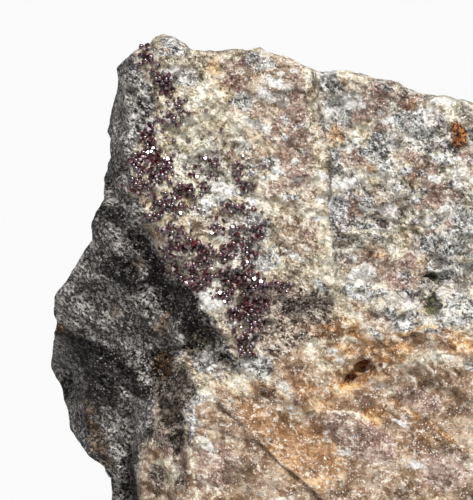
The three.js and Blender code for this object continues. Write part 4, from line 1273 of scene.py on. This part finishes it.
colour = fleck(healed_cracks(colour), *DARK_GRAINS)
colour = lay(DARK_MINERALS, colour)
for specks in (PALE_GRAINS_AND_GLINTS, RUSTY_GRAINS):
    colour = fleck(colour, *specks)
print("minerals:", *LIGHT_MINERALS, *DARK_MINERALS)

# %% Seams, and the painted shade beside the recess edge, broken up by the ragged noise
seam_and_step_shade = add(tree, "Attribute", attribute_name="crack_and_step_shade").outputs["Fac"]
inputs = {"Value": ragged.outputs["Fac"], "From Min": 0.38, "From Max": 0.54, "To Max": 0.85}
kept = add(tree, "MapRange", inputs)
share = add(tree, "Math", {0: seam_and_step_shade, 1: kept}, operation="MULTIPLY")
colour = add(tree, "Mix", {"Factor": share, "A": colour, "B": linear("#2e1c0e")}, data_type="RGBA")
tree.links.new(colour.outputs[2], shader.inputs["Base Color"])
print("nodes with the seams:", len(tree.nodes))

# %% [markdown]
# ## What is finer than the mesh
# Grains of 0.2 to 0.5 mm are too many to model, so their flats are bump. Bump made from a noise looks
# soft, like bark. Here each cell is a plane through its own middle with its own lean, so that whole
# grains catch the light or lose it together, as broken quartz does. The waxy quartz below is calmer.

# %% Bump: every grain is a flat with its own lean
CHIP_SHARE, FACET_SHARE, LAYER_SHARE = 0.5, 0.6, 1.2
SHARP_LEAN, WAXY_LEAN = 1.8, 0.9
RAGGED_HEIGHT = 0.0003


def leaning(name):
    """Height of leaning flats, in metres, from a cell pattern."""
    cells = pattern[name].outputs
    away = add(tree, "VectorMath", {0: lie[CELLS[name][0]], 1: cells["Position"]}, operation="SUBTRACT")
    lean = add(tree, "VectorMath", {0: cells["Color"], 1: (0.5, 0.5, 0.5)}, operation="SUBTRACT")
    return add(tree, "VectorMath", {0: away, 1: lean}, operation="DOT_PRODUCT")


height = add(tree, "Math", {0: leaning("grain"), 1: leaning("sugar")})
height = add(tree, "Math", {0: leaning("chip"), 1: CHIP_SHARE, 2: height}, operation="MULTIPLY_ADD")
calm = add(tree, "MapRange", {"Value": shares["warm"], "To Min": SHARP_LEAN, "To Max": WAXY_LEAN})
height = add(tree, "Math", {0: height, 1: calm}, operation="MULTIPLY")
height = add(tree, "Math", {0: leaning("facet"), 1: FACET_SHARE, 2: height}, operation="MULTIPLY_ADD")
height = add(tree, "Math", {0: ragged, 1: RAGGED_HEIGHT, 2: height}, operation="MULTIPLY_ADD")
layers = add(tree, "Math", {0: leaning("scale"), 1: shares["wall"]}, operation="MULTIPLY")
height = add(tree, "Math", {0: layers, 1: LAYER_SHARE, 2: height}, operation="MULTIPLY_ADD")
bump = add(tree, "Bump", {"Height": height, "Distance": 1.0, "Strength": 0.9})
tree.links.new(bump.outputs["Normal"], shader.inputs["Normal"])
print("nodes with the bump:", len(tree.nodes))

# %% Gloss: quartz's IOR, each grain with its own roughness, and hardly any gloss on the painted shade of the wall rock and on the mixed grains
gloss = add(tree, "MapRange", {"Value": value["sugar"], "To Min": 0.15, "To Max": 0.6})
tree.links.new(gloss.outputs[0], shader.inputs["Roughness"])
dull = add(tree, "Math", {0: shares["painted_wall_shade"], 1: shares["mixed"]}, operation="MAXIMUM")
glint = add(tree, "MapRange", {"Value": dull, "To Min": 0.5, "To Max": 0.12})
tree.links.new(glint.outputs[0], shader.inputs["Specular IOR Level"])
shader.inputs["IOR"].default_value = 1.54
print("the skin's material has", len(tree.nodes), "nodes")

# %% [markdown]
# ## Pucherite crystals
# Pucherite is bismuth vanadate. It grows in squat crystals, often well under a millimetre across, dark
# red-brown, with an adamantine lustre: the faces mirror the lamps almost like metal, and the bodies go
# nearly black. One crystal here is three rings of six corners with cut tips, flat or with rounded
# faces. A druse is a few lobes of crystals thrown down so that they don't quite overlap, each sunk a
# little into the crust. They could be instances of one mesh, but each has its own size and lie.

# %% The surface under a crystal
SLOPE_REACH = 0.15  # the slope is measured this far to each side


def seat(x, z):
    """Points of the finished skin near x and z of the display face, and the ways that they look."""
    x, z = np.asarray(x, float), np.asarray(z, float)
    reach = SLOPE_REACH
    per_x = (face_depth(x + reach, z) - face_depth(x - reach, z)) / (2 * reach)
    per_z = (face_depth(x, z + reach) - face_depth(x, z - reach)) / (2 * reach)
    outward = np.stack([per_x, -np.ones_like(x), per_z], -1)
    outward /= np.linalg.norm(outward, axis=1)[:, None]
    points = np.stack([x, face_depth(x, z), z], -1)
    off = relief(points, mineral_fields(points), np.clip(to_outline(x, z), 0, None))
    return points + outward * off[:, None], outward


print("a crystal at x -1, z 28 would stand at", np.round(seat([-1], [28])[0][0], 2))

# %% One crystal
SIDES = 6
HALF_WIDTH, HALF_DEPTH, HALF_LENGTH = 0.5, 0.42, 0.55
TIP_HEIGHT, TIP_RADIUS = 0.62, 0.40
GROWTH = 1.4  # crystals grow past their sizes, into each other
FULL_TURN, HALF_TURN = 6.28, 3.14


def crystal_shape(size, random):
    """Corners and faces of one crystal, in mm, with a random lie."""
    corners = []
    for level, radius in [(-TIP_HEIGHT, TIP_RADIUS), (0, 1), (TIP_HEIGHT, TIP_RADIUS)]:
        for k in range(SIDES):
            angle = 2 * math.pi * (k + 0.5) / SIDES
            across, deep = HALF_WIDTH * radius * math.cos(angle), HALF_DEPTH * radius * math.sin(angle)
            corners.append([across, deep, HALF_LENGTH * level])
    faces = [tuple(range(SIDES))[::-1], tuple(range(2 * SIDES, 3 * SIDES))]
    for ring in (0, SIDES):
        for k in range(SIDES):
            after = (k + 1) % SIDES
            faces.append((ring + k, ring + after, ring + SIDES + after, ring + SIDES + k))
    turn = Matrix.Rotation(random.uniform(0, FULL_TURN), 3, "Z")
    turn = turn @ Matrix.Rotation(random.uniform(0, HALF_TURN), 3, "X")
    turn = Matrix.Rotation(random.uniform(0, FULL_TURN), 3, "Y") @ turn
    return np.array(corners) @ np.array(turn).T * size * GROWTH, faces


print("one crystal:", *(len(part) for part in crystal_shape(1, Random(0))), "corners and faces")

# %% A mesh of crystals
ROUNDED = 0.4  # the share of crystals with curved faces
LIFT = 0.28  # how far a crystal's middle stands off the crust, in shares of its size


def across_in_mm(sizes):
    """How far across the smallest and the largest crystal are."""
    return [round(2 * HALF_DEPTH * GROWTH * size, 2) for size in (min(sizes), max(sizes))]


def grow(name, places, sizes, random, material):
    """One mesh of crystals that stand at places [x, z] of the display face."""
    ground, outward = seat(places[:, 0], places[:, 1])
    points, faces, rounded = [], [], []
    for foot, way, size in zip(ground, outward, sizes):
        corners, sides = crystal_shape(size, random)
        rounded += [random.random() < ROUNDED] * len(sides)
        faces += [[i + 3 * SIDES * len(points) for i in side] for side in sides]
        points.append(corners + foot + way * size * LIFT)
    piece = mesh_piece(name, np.concatenate(points), faces, material, rounded)
    return piece


print("curved crystals:", round(100 * ROUNDED), "%")

# %% Pucherite, grown from solution
# Its very high IOR mirrors the lamps. The clear coat is its smooth outermost growth, which gives crisp
# sparks, and the slightly rougher body under it a soft dark red glow.
CLOUDINESS = 0.5  # the red shows through in patches about as large as a crystal
pucherite = bpy.data.materials.new("adamantine_pucherite")
pucherite.use_nodes = True
crystal_tree = pucherite.node_tree
body = crystal_tree.nodes["Principled BSDF"]
place = add(crystal_tree, "TexCoord").outputs["Object"]
cloudy = add(crystal_tree, "TexNoise", {"Vector": place, "Scale": per_metre(CLOUDINESS), "Detail": 2})
red = add(crystal_tree, "ValToRGB", {"Fac": cloudy}, stops=[(0.40, "#0e0206"), (0.68, "#580a1a")])
crystal_tree.links.new(red.outputs["Color"], body.inputs["Base Color"])
body.inputs["Specular Tint"].default_value = linear("#f6eaee")
body.inputs["Roughness"].default_value = 0.12
body.inputs["IOR"].default_value = 2.45
body.inputs["Coat Weight"].default_value = 0.5
body.inputs["Coat Roughness"].default_value = 0.03
body.inputs["Coat IOR"].default_value = 1.8
print("the crystals' material has", len(crystal_tree.nodes), "nodes")

# %% [markdown]
# ## Places in a druse
# Crystals could be scattered by a geometry node, but a druse is crowded in the middle, thins out to
# small ones at its edge, and leaves the crust bare in patches. Throwing them down one by one, and
# keeping those with room around them, gives all three.

# %% Places in a druse
SIZE_RANGE = (0.38, 0.72)
THROWS = 90  # to each lobe, by the square mm of its half widths
FAR_SHARES = [1.0, 1.0, 1.2, 1.5]  # half of the throws may land outside the lobe
MIDDLE_SIZE, EDGE_LOSS = 1.1, 0.25  # crystals get smaller from the middle outwards
SMALL_LOBE = 0.6  # and are smaller in small lobes
ROOM = 0.68  # how far apart crystals stand, in shares of their sizes
CLUMP, BARE = 1.1, 0.42  # the crust shows between clumps of this size, over about this share
CLUMP_SEED = 700
ALWAYS, LARGE_DRUSE = 2, 3  # only large druses have bare patches, after the first few throws


def throw_down(lobes, random):
    """Places and sizes of crystals in a few lobes, none of them too close together."""
    places, sizes = [], []
    for x, z, half_x, half_z in lobes:
        for throw in range(int(THROWS * half_x * half_z)):
            far, angle = math.sqrt(random.random()), random.uniform(0, FULL_TURN)
            far *= random.choice(FAR_SHARES)
            spot = (x + half_x * far * math.cos(angle), z + half_z * far * math.sin(angle))
            size = random.uniform(*SIZE_RANGE) * (MIDDLE_SIZE - EDGE_LOSS * far)
            size *= min(1.0, SMALL_LOBE + half_x * half_z)
            bare = cloud(np.array([[spot[0], 0, spot[1]]]), CLUMP, CLUMP_SEED)[0] < BARE
            if bare and throw > ALWAYS and len(lobes) > LARGE_DRUSE:
                continue
            if all(math.dist(spot, p) > ROOM * (size + s) / 2 for p, s in zip(places, sizes)):
                places.append(spot)
                sizes.append(size)
    return np.array(places), np.array(sizes)


tried = throw_down(DRUSES["middle"], Random(0))[1]
print("a try at one small druse gives", len(tried), "crystals")

# %% Grow the druses
DRUSE_SEED = 100
druse_sizes = []
for number, (name, lobes) in enumerate(DRUSES.items()):
    random = Random(DRUSE_SEED + number)
    places, sizes = throw_down(lobes, random)
    piece = grow("druse_" + name, places, sizes, random, pucherite)
    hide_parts("pucherite_" + name)
    druse_sizes += list(sizes)
print("crystals in druses:", len(druse_sizes), "and mm across, from, to:", *across_in_mm(druse_sizes))

# %% [markdown]
# ## Single crystals
# Between the druses stand lone crystals and pairs, thinning out to the right. Each is too small to be a
# node of its own, so they are one mesh. The plainest are listed one by one, and the rest are strewn in
# veils.

# %% Lone crystals that are listed one by one
LONE = [
    [-6.4, 47.0], [-6.9, 44.7], [-6.1, 45.6], [-4.0, 43.8], [-4.8, 43.1], [-2.5, 42.6], [-6.1, 42.9],
    [-3.4, 39.1], [-5.7, 37.1], [-5.2, 38.8], [-0.7, 41.4], [-3.6, 40.7], [1.0, 32.3], [-4.4, 45.9],
    [-9.0, 42.3], [-7.6, 42.9], [-5.5, 39.6], [0.6, 36.0], [1.2, 35.8], [-9.2, 47.2], [-7.7, 47.9],
]
print("set by hand:", len(LONE))

# %% Veils, which are ellipses that more are strewn in: [x, z, half width, half height, turn, how many]
VEILS = [
    [-4.6, 37.0, 5.6, 9.0, 22, 30], [-9.6, 39.0, 1.9, 5.0, 8, 18], [-8.0, 36.4, 2.8, 2.4, -25, 14],
    [-6.0, 39.6, 2.4, 2.4, 0, 10], [-5.8, 31.0, 3.2, 2.6, -30, 50], [-1.4, 31.6, 2.8, 2.2, 0, 26],
    [-0.4, 27.0, 2.4, 3.8, 0, 34], [2.6, 28.4, 1.9, 0.6, -10, 44], [-9.2, 49.4, 1.1, 2.6, 35, 26],
    [-8.0, 45.6, 1.3, 1.6, 0, 12], [-2.4, 35.0, 3.0, 1.6, -20, 12],
]
VEIL_SPREAD = 0.6  # 0.5 would spread them evenly, and 1 crowds them in the middle
LONE_SEED, LONE_SIZES = 7, (0.2, 0.48)
CLEAR_OF_WALL = 0.3
random = Random(LONE_SEED)
lone_places = [tuple(p) for p in LONE]
for cx, cz, half_x, half_z, turn, count in VEILS:
    c, s = math.cos(math.radians(turn)), math.sin(math.radians(turn))
    for _ in range(count):
        far, angle = random.random() ** VEIL_SPREAD, random.uniform(0, FULL_TURN)
        across, up = half_x * far * math.cos(angle), half_z * far * math.sin(angle)
        lone_places.append((cx + across * c - up * s, cz + across * s + up * c))
lone_places = np.array(lone_places)
print("strewn in veils:", len(lone_places) - len(LONE))

# %% Grow those that stand on the quartz
on_quartz = inside_distance(WALL_ROCK_CONTACT, *lone_places.T) < -CLEAR_OF_WALL
lone_places = lone_places[on_quartz]
lone_sizes = np.array([random.uniform(*LONE_SIZES) for _ in lone_places])
grow("lone_crystals", lone_places, lone_sizes, random, pucherite)
print("lone crystals:", len(lone_sizes), "and mm across, from, to:", *across_in_mm(lone_sizes))

# %% [markdown]
# ## Sizes, and the end
# The finished model has to stay the size of the CAD solid, so both boxes are kept in one table.

# %% Sizes of the CAD solid and of the finished model
size = {"cad": [list(c) for c in cad_box], "visual": [list(c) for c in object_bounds()]}
